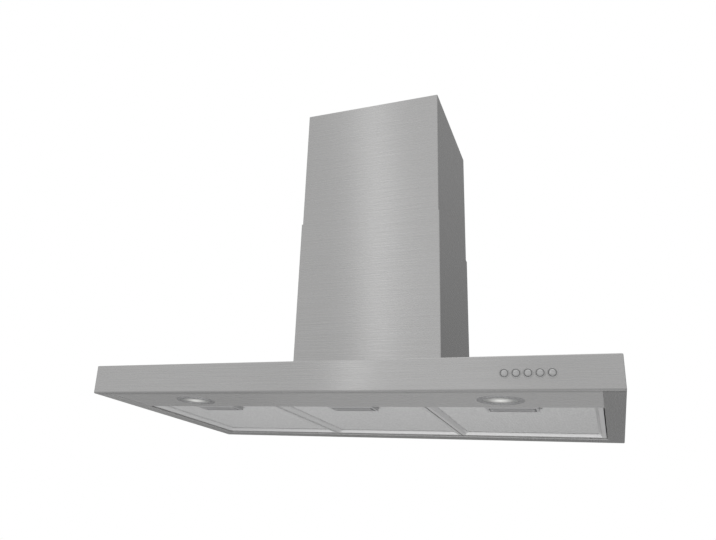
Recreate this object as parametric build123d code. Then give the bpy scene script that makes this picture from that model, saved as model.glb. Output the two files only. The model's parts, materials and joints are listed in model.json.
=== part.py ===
from build123d import *
import math
import os

# Wall-mounted chimney range hood with a flat box canopy. Millimetres.
# X runs to the right, -Y towards the cook, +Z up. The wall is the plane y = 0.
# The origin is on the wall, under the middle of the hood, level with the canopy's lowest face.

# How far a cutting shape runs past the face that it opens, and a joined shape into its neighbour
OVERCUT = 1.0

# Canopy
CANOPY_WIDTH = 900.0
CANOPY_DEPTH = 550.0
CANOPY_HEIGHT = 52.0
SHEET = 1.2
BEND_RADIUS = 1.8
RIM_FRONT = 18.0
RIM_SIDE = 30.0
RIM_REAR = 45.0
SIDE_LIP_HEIGHT = 12.0
REAR_LIP_HEIGHT = 16.0
LIP_FOLD_RADIUS = 1.0

# Light strip behind the front rim
STRIP_DEPTH = 126.0
STRIP_SHEET = 1.0
STRIP_OVERLAP = 14.0
LEDGE_DEPTH = 12.0
LEDGE_ABOVE_FILTER = 4.2
STRIP_SCREW_FACTORS = (-1.0, -1 / 3, 1 / 3, 1.0)
STRIP_SCREW_TIP = 0.1

# Lights
LIGHT_INSET = 176.0
LIGHT_HOLE_R = 30.3
TRIM_R = 36.0
TRIM_SLEEVE_R = 30.0
TRIM_SLEEVE_WALL = 1.0
TRIM_SLEEVE_HEIGHT = 14.0
TRIM_SEAT = 2.0
TRIM_BEVEL = 0.5
LENS_THICKNESS = 2.6
LENS_SLACK = 0.2
LENS_CROWN = 1.1
LENS_CROWN_GAP = 0.4
LENS_CROWN_STEPS = (1.0, 0.75, 0.5, 0.25, 0.0)
LIGHT_CAN_HEIGHT = 34.0
LIGHT_CAN_WALL = 1.0
LIGHT_CAN_GAP = 0.5
VENT_WIDTH = 4.0
VENT_HEIGHT = 8.5
VENT_TURNS_DEG = (0, 60, 120)
BULB_R = 6.0
BULB_TIP_STEPS_DEG = (90, 60, 30, 0)
BULB_LENGTH = 17.0
BULB_BASE_R = 8.0
BULB_BASE_HEIGHT = 8.0

# Grease filters
FILTER_COUNT = 3
FILTER_GAP = 2.0
FILTER_END_GAP = 2.5
FILTER_RECESS = 3.0
FILTER_THICKNESS = 9.0
FILTER_SHEET = 0.8
FILTER_RIM = 11.0
FILTER_BORDER_RISE = 4.0
FILTER_BORDER_GAP = 0.1
MESH_COLUMNS = 6
MESH_ROWS = 9
MESH_STRAND = 3.2
MESH_SLACK = 0.3
TAB_WIDTH = 20.0
TAB_LENGTH = 10.0
TAB_INSET = 40.0
PIVOT_CLEARANCE = 0.3
SLOT_SIDE_CLEARANCE = 2.0
SLOT_TOP_GAP = 1.5
FILTER_SWING_DEG = 60.0

# Filter latches
LATCH_WIDTH = 84.0
LATCH_WALL = 1.5
LATCH_FRONT_WALL = 28.0
LATCH_BORDER = 4.0
LATCH_END_GAP = 1.0
GRIP_WIDTH = 70.0
GRIP_DEPTH = 20.0
GRIP_HEIGHT = 6.4
GRIP_RIBS = 5
GRIP_GROOVE = 1.6
GRIP_GROOVE_MARGIN = 4.0
GRIP_CORNER = 3.0
LATCH_TRAVEL = 8.0
TONGUE_WIDTH = 24.0
TONGUE_THICKNESS = 1.6
TONGUE_REACH = 6.0
TONGUE_CLEARANCE = 0.25
TONGUE_GAP = 0.3
TONGUE_BEVEL = 1.0
SPRING_STRIP = 0.5
SPRING_HEIGHT = 4.0
SPRING_GAP = 0.1
SPRING_FLAT = 16.0
SPRING_END_INSET = 6.0

# Blower box, inside the chimney
BOX_WIDTH = 254.0
BOX_DEPTH = 280.0
BOX_HEIGHT = 240.0
BOX_SHEET = 1.2
BOX_FLANGE = 12.0
BOX_SCREW_INSET = 30.0
WALL_HOLE_R = 4.0
WALL_HOLE_SPACING_X = 200.0
WALL_HOLE_SPACING_Z = 160.0
WALL_HOLE_LOW = 45.0

# Outlet collar with its backdraft flaps
COLLAR_R = 75.0
COLLAR_WALL = 1.2
COLLAR_HEIGHT = 45.0
COLLAR_FLANGE_R = 92.0
COLLAR_MOUTH = 0.6
COLLAR_SCREW_CIRCLE_R = 82.5
COLLAR_SCREW_TURNS_DEG = (45, 135, 225, 315)
FLAP_STOP = 4.0
FLAP_STOP_RISE = 2.4
FLAP_STOP_HEIGHT = 2.0
FLAP_REST_GAP = 0.3
FLAP_THICKNESS = 1.0
FLAP_EDGE_GAP = 1.3
FLAP_PIN_R = 1.5
FLAP_PIN_INSET = 0.4
FLAP_KNUCKLE_R = 2.7
FLAP_PIN_CLEARANCE = 0.06
FLAP_MID_GAP = 3.2
KNUCKLE_COUNT = 6
KNUCKLE_LENGTH = 18.0
KNUCKLE_GAP = 0.4

# Fan: impeller, scroll housing, neck
WHEEL_R = 66.0
WHEEL_INNER_R = 54.0
WHEEL_WIDTH = 110.0
BLADE_COUNT = 36
BLADE_THICKNESS = 0.9
BLADE_SWEEP_DEG = 8.0
BLADE_BULGE = 2.6
WHEEL_RING = 1.5
WHEEL_RING_R = 59.0
WHEEL_DISC = 2.0
HUB_R = 10.0
HUB_REAR = 5.0
HUB_FRONT = 9.0
SCROLL_START_GAP = 6.0
SCROLL_GROWTH = 33.0
SPIRAL_STEPS = 16
TONGUE_ANGLE_DEG = 65.0
SCROLL_WALL = 2.0
SCROLL_SEAM = 5.0
SCROLL_END_GAP = 5.0
SCROLL_FLOOR_GAP = 4.0
SCROLL_SIDE_GAP = 3.0
INLET_R = 55.0
INLET_LIP = 4.0
NECK_HEIGHT = 50.0
NECK_CORNER_R = 8.0
NECK_TOP_R = 71.5
NECK_FLANGE_R = 82.0
NECK_FLANGE = 2.0

# Motor
MOTOR_R = 38.0
MOTOR_LENGTH = 58.0
MOTOR_CORNER = 3.0
MOTOR_BOSS_R = 12.0
MOTOR_BOSS_HEIGHT = 6.0
SHAFT_R = 4.0
BEARING_CLEARANCE = 0.05
BRACKET_ARM_WIDTH = 14.0
BRACKET_THICKNESS = 2.0
BRACKET_RING_R = 30.0
BRACKET_REACH = 6.0
BRACKET_FOOT_GAP = 1.0
BRACKET_ARM_TURNS_DEG = (90, 210, 330)
NUT_R = 6.5
NUT_HEIGHT = 6.0
SHAFT_END = 3.0

# Electrical pieces
CAPACITOR_R = 15.0
CAPACITOR_LENGTH = 60.0
CAPACITOR_HEIGHT_ABOVE_DECK = 70.0
CAPACITOR_FROM_FRONT = 45.0
CAPACITOR_BEVEL = 2.0
CAPACITOR_SLACK = 0.1
LUG_SPACING = 10.0
LUG_THICKNESS = 0.8
LUG_WIDTH = 6.0
LUG_HEIGHT = 9.0
CLIP_WALL = 1.0
CLIP_WIDTH = 16.0
CLIP_PAD = 16.0
CLIP_MOUTH = 0.4
TERMINAL_WIDTH = 50.0
TERMINAL_HEIGHT = 60.0
TERMINAL_DEPTH = 24.0
TERMINAL_WALL = 2.0
TERMINAL_DROP = 45.0
TERMINAL_FROM_WALL = 10.0
TERMINAL_CORNER = 2.0
TERMINAL_BLOCKS = 3
TERMINAL_BLOCK_WIDTH = 8.0
TERMINAL_BLOCK_HEIGHT = 20.0
TERMINAL_BLOCK_DEPTH = 9.0
TERMINAL_CABLE_R = 5.5
LID_GAP = 0.3
LID_LIP = 3.0
GLAND_BORE_R = 4.5
GLAND_THREAD_R = 8.0
GLAND_NUT_R = 11.0
GLAND_NUT_HEIGHT = 5.0
GLAND_BACK_NUT_HEIGHT = 4.0
GLAND_TAIL = 8.0
GLAND_DOME_R = 9.5
GLAND_MOUTH_R = 6.8
GLAND_HOLE_GAP = 0.2
GLAND_HEIGHT = 16.0
GLAND_FLANGE_GAP = 5.0
GLAND_FROM_WALL = 38.0
TRANSFORMER_WIDTH = 110.0
TRANSFORMER_DEPTH = 46.0
TRANSFORMER_HEIGHT = 28.0
TRANSFORMER_CORNER = 3.0
TRANSFORMER_EAR = 12.0
TRANSFORMER_EAR_WIDTH = 20.0
TRANSFORMER_EAR_THICKNESS = 3.0

# Chimney covers, round the blower box
COVER_SIDE_GAP = 1.2
COVER_FRONT_ROOM = 27.2
COVER_SHEET = 1.0
COVER_GAP = 0.8
COVER_BEND = 1.6
LOWER_COVER_HEIGHT = 362.0
UPPER_COVER_HEIGHT = 350.0
UPPER_COVER_SHOWN = 274.0
LOWER_RETURN = 13.0
UPPER_RETURN = 20.0

# Wall bracket of the upper cover
BRACKET_HEIGHT = 40.0
BRACKET_DROP = 12.0
BRACKET_MARGIN = 1.0
BRACKET_LIP = 12.0
BRACKET_LIP_INSET = 12.0
BRACKET_HOLE_R = 3.0
BRACKET_HOLE_SPACING = 200.0
BRACKET_SCREW_GAP = 0.2
BRACKET_SCREW_SLACK = 0.02

# Control buttons, in the front at the right
BUTTON_COUNT = 5
BUTTON_PITCH = 16.5
BUTTON_INSET = 93.0
BUTTON_R = 5.0
BUTTON_PROUD = 2.6
BUTTON_CAP = 10.0
BUTTON_DOME = 1.4
BUTTON_DOME_STEPS = (0.0, 0.4, 0.7, 0.9, 1.0)
BUTTON_STEM_R = 2.5
BUTTON_TRAVEL = 2.0
BUTTON_END_GAP = 1.8
BUTTON_CLEARANCE = 0.3
STEM_CLEARANCE = 0.06
RING_R = 7.4
RING_BEVEL = 0.6
RING_PROUD = 1.0
RING_SLEEVE_WALL = 0.8
RING_SLEEVE = 6.0
RING_FIT = 0.1
SWITCH_HEIGHT = 24.0
SWITCH_DEPTH = 25.0
SWITCH_MARGIN = 14.0
SWITCH_POCKET_MARGIN = 9.0
BOARD_THICKNESS = 1.6
SOCKET_EDGE = 6.0
SOCKET_HEIGHT = 10.0
SOCKET_DEPTH = 8.0
SIGNAL_SOCKET_WIDTH = 24.0
POWER_SOCKET_WIDTH = 16.0

# Screws
SCREW_R = 2.0
SCREW_HOLE_R = 2.2
SCREW_HEAD_R = 3.8
SCREW_HEAD = 2.0
SCREW_CROWN_R = 2.3
SCREW_END = 4.0

# Sizes that follow from the ones above
HALF_WIDTH = CANOPY_WIDTH / 2
OPENING_HALF = HALF_WIDTH - RIM_SIDE
STRIP_FRONT_Y = -(CANOPY_DEPTH - RIM_FRONT)
STRIP_REAR_Y = STRIP_FRONT_Y + STRIP_DEPTH
STRIP_MID_Y = (STRIP_FRONT_Y + STRIP_REAR_Y) / 2
STRIP_Z = SHEET
STRIP_TOP_Z = STRIP_Z + STRIP_SHEET
LEDGE_TOP_Z = FILTER_RECESS + LEDGE_ABOVE_FILTER
DECK_Z = CANOPY_HEIGHT
DECK_UNDER_Z = CANOPY_HEIGHT - SHEET

REAR_LIP_Y = -RIM_REAR
PIVOT_Y = REAR_LIP_Y + SHEET / 2
PIVOT_Z = FILTER_RECESS - PIVOT_CLEARANCE - SHEET / 2
TAB_TOP_ABOVE_PIVOT = FILTER_RECESS + FILTER_SHEET - PIVOT_Z
SWING = math.radians(FILTER_SWING_DEG)
SLOT_RISE = SHEET / 2 * math.tan(SWING) + TAB_TOP_ABOVE_PIVOT / math.cos(SWING) + SLOT_TOP_GAP
FILTER_WIDTH = (2 * OPENING_HALF - (FILTER_COUNT + 1) * FILTER_GAP) / FILTER_COUNT
FILTER_REAR_Y = REAR_LIP_Y - FILTER_END_GAP
FILTER_FRONT_Y = STRIP_REAR_Y + FILTER_END_GAP
FILTER_TOP_Z = FILTER_RECESS + FILTER_THICKNESS
MESH_Z = FILTER_RECESS + FILTER_BORDER_RISE + FILTER_BORDER_GAP
FILTER_NAMES = ["left", "middle", "right"]

LATCH_FRONT_Y = FILTER_FRONT_Y + FILTER_SHEET
LATCH_TOP_Z = FILTER_TOP_Z - FILTER_SHEET
LATCH_BOTTOM_Z = FILTER_RECESS + FILTER_SHEET
GRIP_FRONT_Y = LATCH_FRONT_Y + LATCH_FRONT_WALL
GRIP_REAR_Y = GRIP_FRONT_Y + GRIP_DEPTH
LATCH_POCKET_REAR_Y = GRIP_REAR_Y + LATCH_TRAVEL + LATCH_END_GAP
LATCH_REAR_Y = LATCH_POCKET_REAR_Y + LATCH_WALL
TONGUE_Z = LEDGE_TOP_Z + TONGUE_GAP
TONGUE_TIP_Y = FILTER_FRONT_Y - TONGUE_REACH

BOX_TOP_Z = DECK_Z + BOX_HEIGHT
BOX_MID_Y = -BOX_DEPTH / 2
BOX_HALF = BOX_WIDTH / 2
GLAND_X = -(BOX_HALF - BOX_FLANGE - GLAND_FLANGE_GAP - GLAND_NUT_R)
PLATE_UNDER_Z = BOX_TOP_Z
PLATE_TOP_Z = BOX_TOP_Z + BOX_SHEET
COLLAR_INNER_R = COLLAR_R - COLLAR_WALL
FLAP_STOP_Z = PLATE_TOP_Z + FLAP_STOP_RISE
FLAP_STOP_TOP_Z = FLAP_STOP_Z + FLAP_STOP_HEIGHT
FLAP_Z = FLAP_STOP_TOP_Z + FLAP_REST_GAP
FLAP_PIN_Z = FLAP_Z + FLAP_THICKNESS / 2

SCROLL_START_R = WHEEL_R + SCROLL_START_GAP
SCROLL_END_R = SCROLL_START_R + SCROLL_GROWTH
TONGUE_X = SCROLL_START_R * math.cos(math.radians(TONGUE_ANGLE_DEG))
SCROLL_OUTSET = SCROLL_WALL + SCROLL_SEAM
WHEEL_MID_Y = BOX_MID_Y
SCROLL_HALF_DEPTH = WHEEL_WIDTH / 2 + SCROLL_END_GAP


def scroll_radius(angle_deg):
    """Radius of the scroll's inner wall, from the tongue round to the throat."""
    share = (angle_deg - TONGUE_ANGLE_DEG) / (360 - TONGUE_ANGLE_DEG)
    return SCROLL_START_R + SCROLL_GROWTH * share


WHEEL_X = -(BOX_HALF - BOX_SHEET) + SCROLL_SIDE_GAP + SCROLL_OUTSET + scroll_radius(180)
WHEEL_Z = DECK_Z + BOX_SHEET + SCROLL_FLOOR_GAP + SCROLL_OUTSET + scroll_radius(270)
NECK_Z = PLATE_UNDER_Z - NECK_HEIGHT

SCROLL_REAR_Y = WHEEL_MID_Y + SCROLL_HALF_DEPTH + SCROLL_WALL
MOTOR_REAR_Y = SCROLL_REAR_Y + INLET_LIP
MOTOR_FRONT_Y = MOTOR_REAR_Y - MOTOR_LENGTH

UPPER_INSET = COVER_SHEET + COVER_GAP
CHIMNEY_WIDTH = BOX_WIDTH + 2 * (COVER_SIDE_GAP + UPPER_RETURN + UPPER_INSET)
CHIMNEY_DEPTH = BOX_DEPTH + COVER_FRONT_ROOM + COVER_SHEET + UPPER_INSET
LOWER_TOP_Z = DECK_Z + LOWER_COVER_HEIGHT
UPPER_TOP_Z = LOWER_TOP_Z + UPPER_COVER_SHOWN
UPPER_BOTTOM_Z = UPPER_TOP_Z - UPPER_COVER_HEIGHT
UPPER_HALF = CHIMNEY_WIDTH / 2 - UPPER_INSET

FRONT_Y = -CANOPY_DEPTH
FRONT_INNER_Y = FRONT_Y + SHEET
BUTTON_Z = CANOPY_HEIGHT / 2
BUTTON_LAST_X = HALF_WIDTH - BUTTON_INSET
BUTTON_XS = [BUTTON_LAST_X - i * BUTTON_PITCH for i in reversed(range(BUTTON_COUNT))]
RING_SLEEVE_R = BUTTON_R + BUTTON_CLEARANCE + RING_SLEEVE_WALL
CAP_REAR_Y = FRONT_Y - BUTTON_PROUD + BUTTON_CAP
SWITCH_REAR_Y = FRONT_INNER_Y + SWITCH_DEPTH
POCKET_REAR_Y = CAP_REAR_Y + BUTTON_TRAVEL + BUTTON_END_GAP
STEM_REAR_Y = SWITCH_REAR_Y - BUTTON_TRAVEL - BUTTON_END_GAP

LIGHT_X = HALF_WIDTH - LIGHT_INSET
LIGHT_XS = [-LIGHT_X, LIGHT_X]
SIDES = ["left", "right"]


def block(x0, x1, y0, y1, z0, z1):
    """Box between two corners."""
    middle = ((x0 + x1) / 2, (y0 + y1) / 2, (z0 + z1) / 2)
    return Pos(*middle) * Box(x1 - x0, y1 - y0, z1 - z0)


def upright(x, y, z0, z1, radius):
    """Cylinder along Z."""
    return Pos(x, y, (z0 + z1) / 2) * Cylinder(radius, z1 - z0)


def lying(x, z, y0, y1, radius):
    """Cylinder along Y."""
    return Pos(x, (y0 + y1) / 2, z) * Rot(90, 0, 0) * Cylinder(radius, y1 - y0)


def across(y, z, x0, x1, radius):
    """Cylinder along X."""
    return Pos((x0 + x1) / 2, y, z) * Rot(0, 90, 0) * Cylinder(radius, x1 - x0)


def turned(x, y, points):
    """Solid of revolution about the vertical line through x, y. Points are (radius, height)."""
    outline = make_face(Polyline(*[(r, 0, z) for r, z in points], close=True))
    return Pos(x, y, 0) * revolve(outline, Axis.Z)


def slab(outline, y0, y1):
    """Extrudes a closed XZ outline from y0 to y1."""
    return extrude(Pos(0, y0, 0) * outline, amount=y1 - y0, dir=(0, 1, 0))


def canopy_shell():
    """One folded pan: deck, front, sides and back, with the rim turned in below.

    The fold along the foot of the back is sharp, so that the hood's lowest edge lies on the wall.
    """
    pan = block(-HALF_WIDTH, HALF_WIDTH, -CANOPY_DEPTH, 0, 0, CANOPY_HEIGHT)
    rear_foot = pan.edges().filter_by(Axis.X).sort_by(Axis.Y)[-2:].sort_by(Axis.Z)[0]
    pan = fillet(pan.edges() - [rear_foot], BEND_RADIUS)
    pan -= block(
        -HALF_WIDTH + SHEET, HALF_WIDTH - SHEET, FRONT_INNER_Y, -SHEET, SHEET, DECK_UNDER_Z
    )
    pan -= block(-OPENING_HALF, OPENING_HALF, STRIP_FRONT_Y, REAR_LIP_Y, -SHEET, 2 * SHEET)
    for side in (-1, 1):
        inner, outer = sorted((side * OPENING_HALF, side * (OPENING_HALF + SHEET)))
        pan += block(inner, outer, STRIP_REAR_Y + SHEET, REAR_LIP_Y + SHEET, 0, SIDE_LIP_HEIGHT)
    lip_half = OPENING_HALF + SHEET
    pan += block(-lip_half, lip_half, REAR_LIP_Y, REAR_LIP_Y + SHEET, 0, REAR_LIP_HEIGHT)
    pan = fillet(opening_edges(pan), LIP_FOLD_RADIUS)
    for x in tab_xs():
        half = TAB_WIDTH / 2 + SLOT_SIDE_CLEARANCE
        pan -= block(
            x - half, x + half, REAR_LIP_Y - SHEET, REAR_LIP_Y + 2 * SHEET, PIVOT_Z, PIVOT_Z + SLOT_RISE
        )
        pan += across(PIVOT_Y, PIVOT_Z, x - half, x + half, SHEET / 2)
    deck_hole = BOX_HALF - BOX_FLANGE
    pan -= block(
        -deck_hole, deck_hole, -BOX_DEPTH + BOX_FLANGE, -BOX_FLANGE, DECK_UNDER_Z - SHEET, DECK_Z + SHEET
    )
    for x, y in box_screw_places():
        pan -= upright(x, y, DECK_UNDER_Z - SHEET, DECK_Z + SHEET, SCREW_HOLE_R)
    for x in BUTTON_XS:
        pan -= lying(x, BUTTON_Z, FRONT_Y - SHEET, FRONT_INNER_Y + SHEET, RING_SLEEVE_R + RING_FIT)
    for x in strip_screw_xs():
        y = strip_screw_y()
        pan -= upright(x, y, -SHEET, 2 * SHEET, SCREW_HOLE_R)
    return pan


def opening_edges(pan):
    """Lower edges of the opening along its two sides and its rear."""
    reach = SHEET / 2
    low = pan.edges().group_by(Axis.Z)[0]
    along = [e for e in low.filter_by(Axis.Y) if abs(abs(e.center().X) - OPENING_HALF) < reach]
    return along + [e for e in low.filter_by(Axis.X) if abs(e.center().Y - REAR_LIP_Y) < reach]


def filter_mid_x(index):
    return (index - (FILTER_COUNT - 1) / 2) * (FILTER_WIDTH + FILTER_GAP)


def tab_xs():
    """Middle of each rear tab of the filters."""
    reach = FILTER_WIDTH / 2 - TAB_INSET
    return [filter_mid_x(i) + side * reach for i in range(FILTER_COUNT) for side in (-1, 1)]


def strip_screw_xs():
    reach = OPENING_HALF + RIM_SIDE / 2
    return [factor * reach for factor in STRIP_SCREW_FACTORS]


def strip_screw_y():
    return STRIP_FRONT_Y - STRIP_OVERLAP / 2


def light_strip():
    """Folded panel that carries the lights. Its rear edge turns up and forward as the latch ledge."""
    half = HALF_WIDTH - SHEET - BEND_RADIUS
    front = STRIP_FRONT_Y - STRIP_OVERLAP
    rear = STRIP_REAR_Y
    strip = block(-half, half, front, rear, STRIP_Z, STRIP_TOP_Z)
    wall_half = OPENING_HALF
    strip += block(-wall_half, wall_half, rear - STRIP_SHEET, rear, STRIP_Z, LEDGE_TOP_Z)
    strip += block(
        -wall_half, wall_half, rear - LEDGE_DEPTH, rear, LEDGE_TOP_Z - STRIP_SHEET, LEDGE_TOP_Z
    )
    for x in LIGHT_XS:
        strip -= upright(x, STRIP_MID_Y, 0, 2 * STRIP_TOP_Z, LIGHT_HOLE_R)
    for x in strip_screw_xs():
        strip -= upright(x, strip_screw_y(), 0, 2 * STRIP_TOP_Z, SCREW_HOLE_R)
    return strip


def light_trim(x):
    """Trim ring with a flange below the strip, a sleeve through it and a seat for the lens."""
    bore_r = TRIM_SLEEVE_R - TRIM_SLEEVE_WALL
    seat_r = bore_r - TRIM_SEAT
    return turned(
        x,
        STRIP_MID_Y,
        [
            (seat_r, TRIM_BEVEL),
            (seat_r + TRIM_BEVEL, 0),
            (TRIM_R - TRIM_BEVEL, 0),
            (TRIM_R, TRIM_BEVEL),
            (TRIM_R, STRIP_Z),
            (TRIM_SLEEVE_R, STRIP_Z),
            (TRIM_SLEEVE_R, TRIM_SLEEVE_HEIGHT),
            (bore_r, TRIM_SLEEVE_HEIGHT),
            (bore_r, STRIP_Z),
            (seat_r, STRIP_Z),
        ],
    )


def light_lens(x):
    """Frosted disc on the trim's seat, a little crowned downwards inside the seat."""
    rim_r = TRIM_SLEEVE_R - TRIM_SLEEVE_WALL - LENS_SLACK
    crown_r = rim_r - TRIM_SEAT - LENS_CROWN_GAP
    lens = upright(x, STRIP_MID_Y, STRIP_Z, STRIP_Z + LENS_THICKNESS, rim_r)
    crown = [(s * crown_r, STRIP_Z - LENS_CROWN * (1 - s * s)) for s in LENS_CROWN_STEPS]
    return lens + turned(x, STRIP_MID_Y, [(0, STRIP_Z), *crown])


def light_can(x):
    """Round housing over the trim's sleeve, with vent slots round its wall."""
    inner = TRIM_SLEEVE_R + LIGHT_CAN_GAP
    outer = inner + LIGHT_CAN_WALL
    top = STRIP_TOP_Z + LIGHT_CAN_HEIGHT
    can = upright(x, STRIP_MID_Y, STRIP_TOP_Z, top, outer)
    can -= upright(x, STRIP_MID_Y, STRIP_TOP_Z, top - LIGHT_CAN_WALL, inner)
    vent = Box(2 * (outer + OVERCUT), VENT_WIDTH, VENT_HEIGHT)
    for turn in VENT_TURNS_DEG:
        can -= Pos(x, STRIP_MID_Y, top - LIGHT_CAN_HEIGHT / 3) * Rot(0, 0, turn) * vent
    return can


def light_bulb(x):
    """Capsule bulb that hangs in its holder from the top of the can."""
    top = STRIP_TOP_Z + LIGHT_CAN_HEIGHT - LIGHT_CAN_WALL
    neck = top - BULB_BASE_HEIGHT
    tip = neck - BULB_LENGTH
    angles = [math.radians(step) for step in BULB_TIP_STEPS_DEG]
    round_end = [(BULB_R * math.sin(a), tip + BULB_R * (1 - math.cos(a))) for a in angles]
    holder = [(0, top), (BULB_BASE_R, top), (BULB_BASE_R, neck), (BULB_R, neck)]
    return turned(x, STRIP_MID_Y, holder + round_end)


def filter_frame(index):
    """Channel folded from sheet round the mesh, with two tabs at the rear.

    The inner edge of its lower side slopes up to the mesh, except across the latch.
    """
    x = filter_mid_x(index)
    x0, x1 = x - FILTER_WIDTH / 2, x + FILTER_WIDTH / 2
    y0, y1 = FILTER_FRONT_Y, FILTER_REAR_Y
    frame = block(x0, x1, y0, y1, FILTER_RECESS, FILTER_TOP_Z)
    t = FILTER_SHEET
    frame -= block(x0 + t, x1 - t, y0 + t, y1 - t, FILTER_RECESS + t, FILTER_TOP_Z - t)
    window_x = (x0 + FILTER_RIM, x1 - FILTER_RIM)
    window_y = (y0 + FILTER_RIM, y1 - FILTER_RIM)
    frame -= block(*window_x, *window_y, FILTER_TOP_Z - 2 * t, FILTER_TOP_Z + t)
    frame += border_funnel(x, t * math.sqrt(2))
    frame -= border_funnel(x, 0)
    half = LATCH_WIDTH / 2 + MESH_SLACK
    frame -= block(x - half, x + half, y0 + t, y0 + FILTER_RIM + OVERCUT, FILTER_RECESS + t, MESH_Z)
    frame -= block(
        x - TONGUE_WIDTH / 2 - TONGUE_CLEARANCE,
        x + TONGUE_WIDTH / 2 + TONGUE_CLEARANCE,
        y0 - t,
        y0 + 2 * t,
        TONGUE_Z - TONGUE_CLEARANCE,
        TONGUE_Z + TONGUE_THICKNESS + TONGUE_CLEARANCE,
    )
    for side in (-1, 1):
        tab = x + side * (FILTER_WIDTH / 2 - TAB_INSET)
        frame += block(
            tab - TAB_WIDTH / 2,
            tab + TAB_WIDTH / 2,
            y1 - t,
            y1 + TAB_LENGTH,
            FILTER_RECESS,
            FILTER_RECESS + t,
        )
    return frame


def border_funnel(x, grow):
    """Space inside the frame's sloped border, from its lower side up to the mesh."""
    width = FILTER_WIDTH - 2 * FILTER_RIM + 2 * grow
    depth = FILTER_REAR_Y - FILTER_FRONT_Y - 2 * FILTER_RIM + 2 * grow
    rise = FILTER_BORDER_RISE
    middle_y = (FILTER_FRONT_Y + FILTER_REAR_Y) / 2
    low = Pos(x, middle_y, FILTER_RECESS) * Rectangle(width + 2 * rise, depth + 2 * rise)
    high = Pos(x, middle_y, FILTER_RECESS + rise) * Rectangle(width, depth)
    return loft([low, high], ruled=True)


def filter_mesh(index):
    """Expanded sheet with rows of diamonds, its border held in the frame's channel."""
    x = filter_mid_x(index)
    slack = FILTER_SHEET + MESH_SLACK
    z0, z1 = MESH_Z, FILTER_TOP_Z - FILTER_SHEET
    pad = block(
        x - FILTER_WIDTH / 2 + slack,
        x + FILTER_WIDTH / 2 - slack,
        FILTER_FRONT_Y + slack,
        FILTER_REAR_Y - slack,
        z0,
        z1,
    )
    window_x = FILTER_WIDTH - 2 * FILTER_RIM
    window_y = FILTER_REAR_Y - FILTER_FRONT_Y - 2 * FILTER_RIM
    cell_x, cell_y = window_x / MESH_COLUMNS, window_y / MESH_ROWS
    middle_y = (FILTER_FRONT_Y + FILTER_REAR_Y) / 2
    half_x, half_y = cell_x / 2 - MESH_STRAND, cell_y / 2 - MESH_STRAND * cell_y / cell_x
    diamond = make_face(
        Polyline((half_x, 0), (0, half_y), (-half_x, 0), (0, -half_y), close=True)
    )
    places = []
    for row in range(2 * MESH_ROWS - 1):
        shift = row % 2
        for column in range(MESH_COLUMNS - shift):
            px = (column - (MESH_COLUMNS - 1 - shift) / 2) * cell_x
            py = (row / 2 - (MESH_ROWS - 1) / 2) * cell_y
            if not near_latch(px, middle_y + py, half_x, half_y):
                places.append(Pos(x + px, middle_y + py, z0) * diamond)
    holes = extrude(Sketch() + places, amount=z1 - z0)
    pad -= holes
    gap = MESH_SLACK
    half = LATCH_WIDTH / 2 + gap
    pad -= block(
        x - half, x + half, FILTER_FRONT_Y, LATCH_REAR_Y + gap, z0 - OVERCUT, z1 + OVERCUT
    )
    return pad


def near_latch(px, y, half_x, half_y):
    """Whether a diamond at this place would cut into the border round the latch."""
    beside = abs(px) < LATCH_WIDTH / 2 + half_x + MESH_STRAND
    return beside and y < LATCH_REAR_Y + half_y + MESH_STRAND


def latch_housing(index):
    """Moulded tray in the filter that guides the latch; open below."""
    x = filter_mid_x(index)
    half = LATCH_WIDTH / 2
    tray = block(x - half, x + half, LATCH_FRONT_Y, LATCH_REAR_Y, LATCH_BOTTOM_Z, LATCH_TOP_Z)
    pocket = half - LATCH_BORDER
    tray -= block(
        x - pocket,
        x + pocket,
        GRIP_FRONT_Y - TONGUE_CLEARANCE,
        LATCH_POCKET_REAR_Y,
        LATCH_BOTTOM_Z - OVERCUT,
        LATCH_TOP_Z - LATCH_WALL,
    )
    tray -= block(
        x - TONGUE_WIDTH / 2 - TONGUE_CLEARANCE,
        x + TONGUE_WIDTH / 2 + TONGUE_CLEARANCE,
        LATCH_FRONT_Y - OVERCUT,
        GRIP_FRONT_Y,
        TONGUE_Z - TONGUE_CLEARANCE,
        TONGUE_Z + TONGUE_THICKNESS + TONGUE_CLEARANCE,
    )
    return tray


def latch_slider(index):
    """Grip with ribs below and a tongue that reaches over the ledge."""
    x = filter_mid_x(index)
    top = LATCH_TOP_Z - LATCH_WALL - TONGUE_CLEARANCE
    half = GRIP_WIDTH / 2
    grip = block(x - half, x + half, GRIP_FRONT_Y, GRIP_REAR_Y, top - GRIP_HEIGHT, top)
    grip = fillet(grip.edges().filter_by(Axis.Z), GRIP_CORNER)
    pitch = GRIP_DEPTH / (GRIP_RIBS + 1)
    groove = half - GRIP_GROOVE_MARGIN
    for i in range(GRIP_RIBS):
        y = GRIP_FRONT_Y + (i + 1) * pitch
        grip -= across(y, top - GRIP_HEIGHT, x - groove, x + groove, GRIP_GROOVE / 2)
    tongue = block(
        x - TONGUE_WIDTH / 2,
        x + TONGUE_WIDTH / 2,
        TONGUE_TIP_Y,
        GRIP_FRONT_Y + OVERCUT,
        TONGUE_Z,
        TONGUE_Z + TONGUE_THICKNESS,
    )
    tip = tongue.edges().filter_by(Axis.X).sort_by(Axis.Y)[0:2].sort_by(Axis.Z)[0]
    tongue = chamfer(tip, TONGUE_BEVEL)
    return grip + tongue


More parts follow.
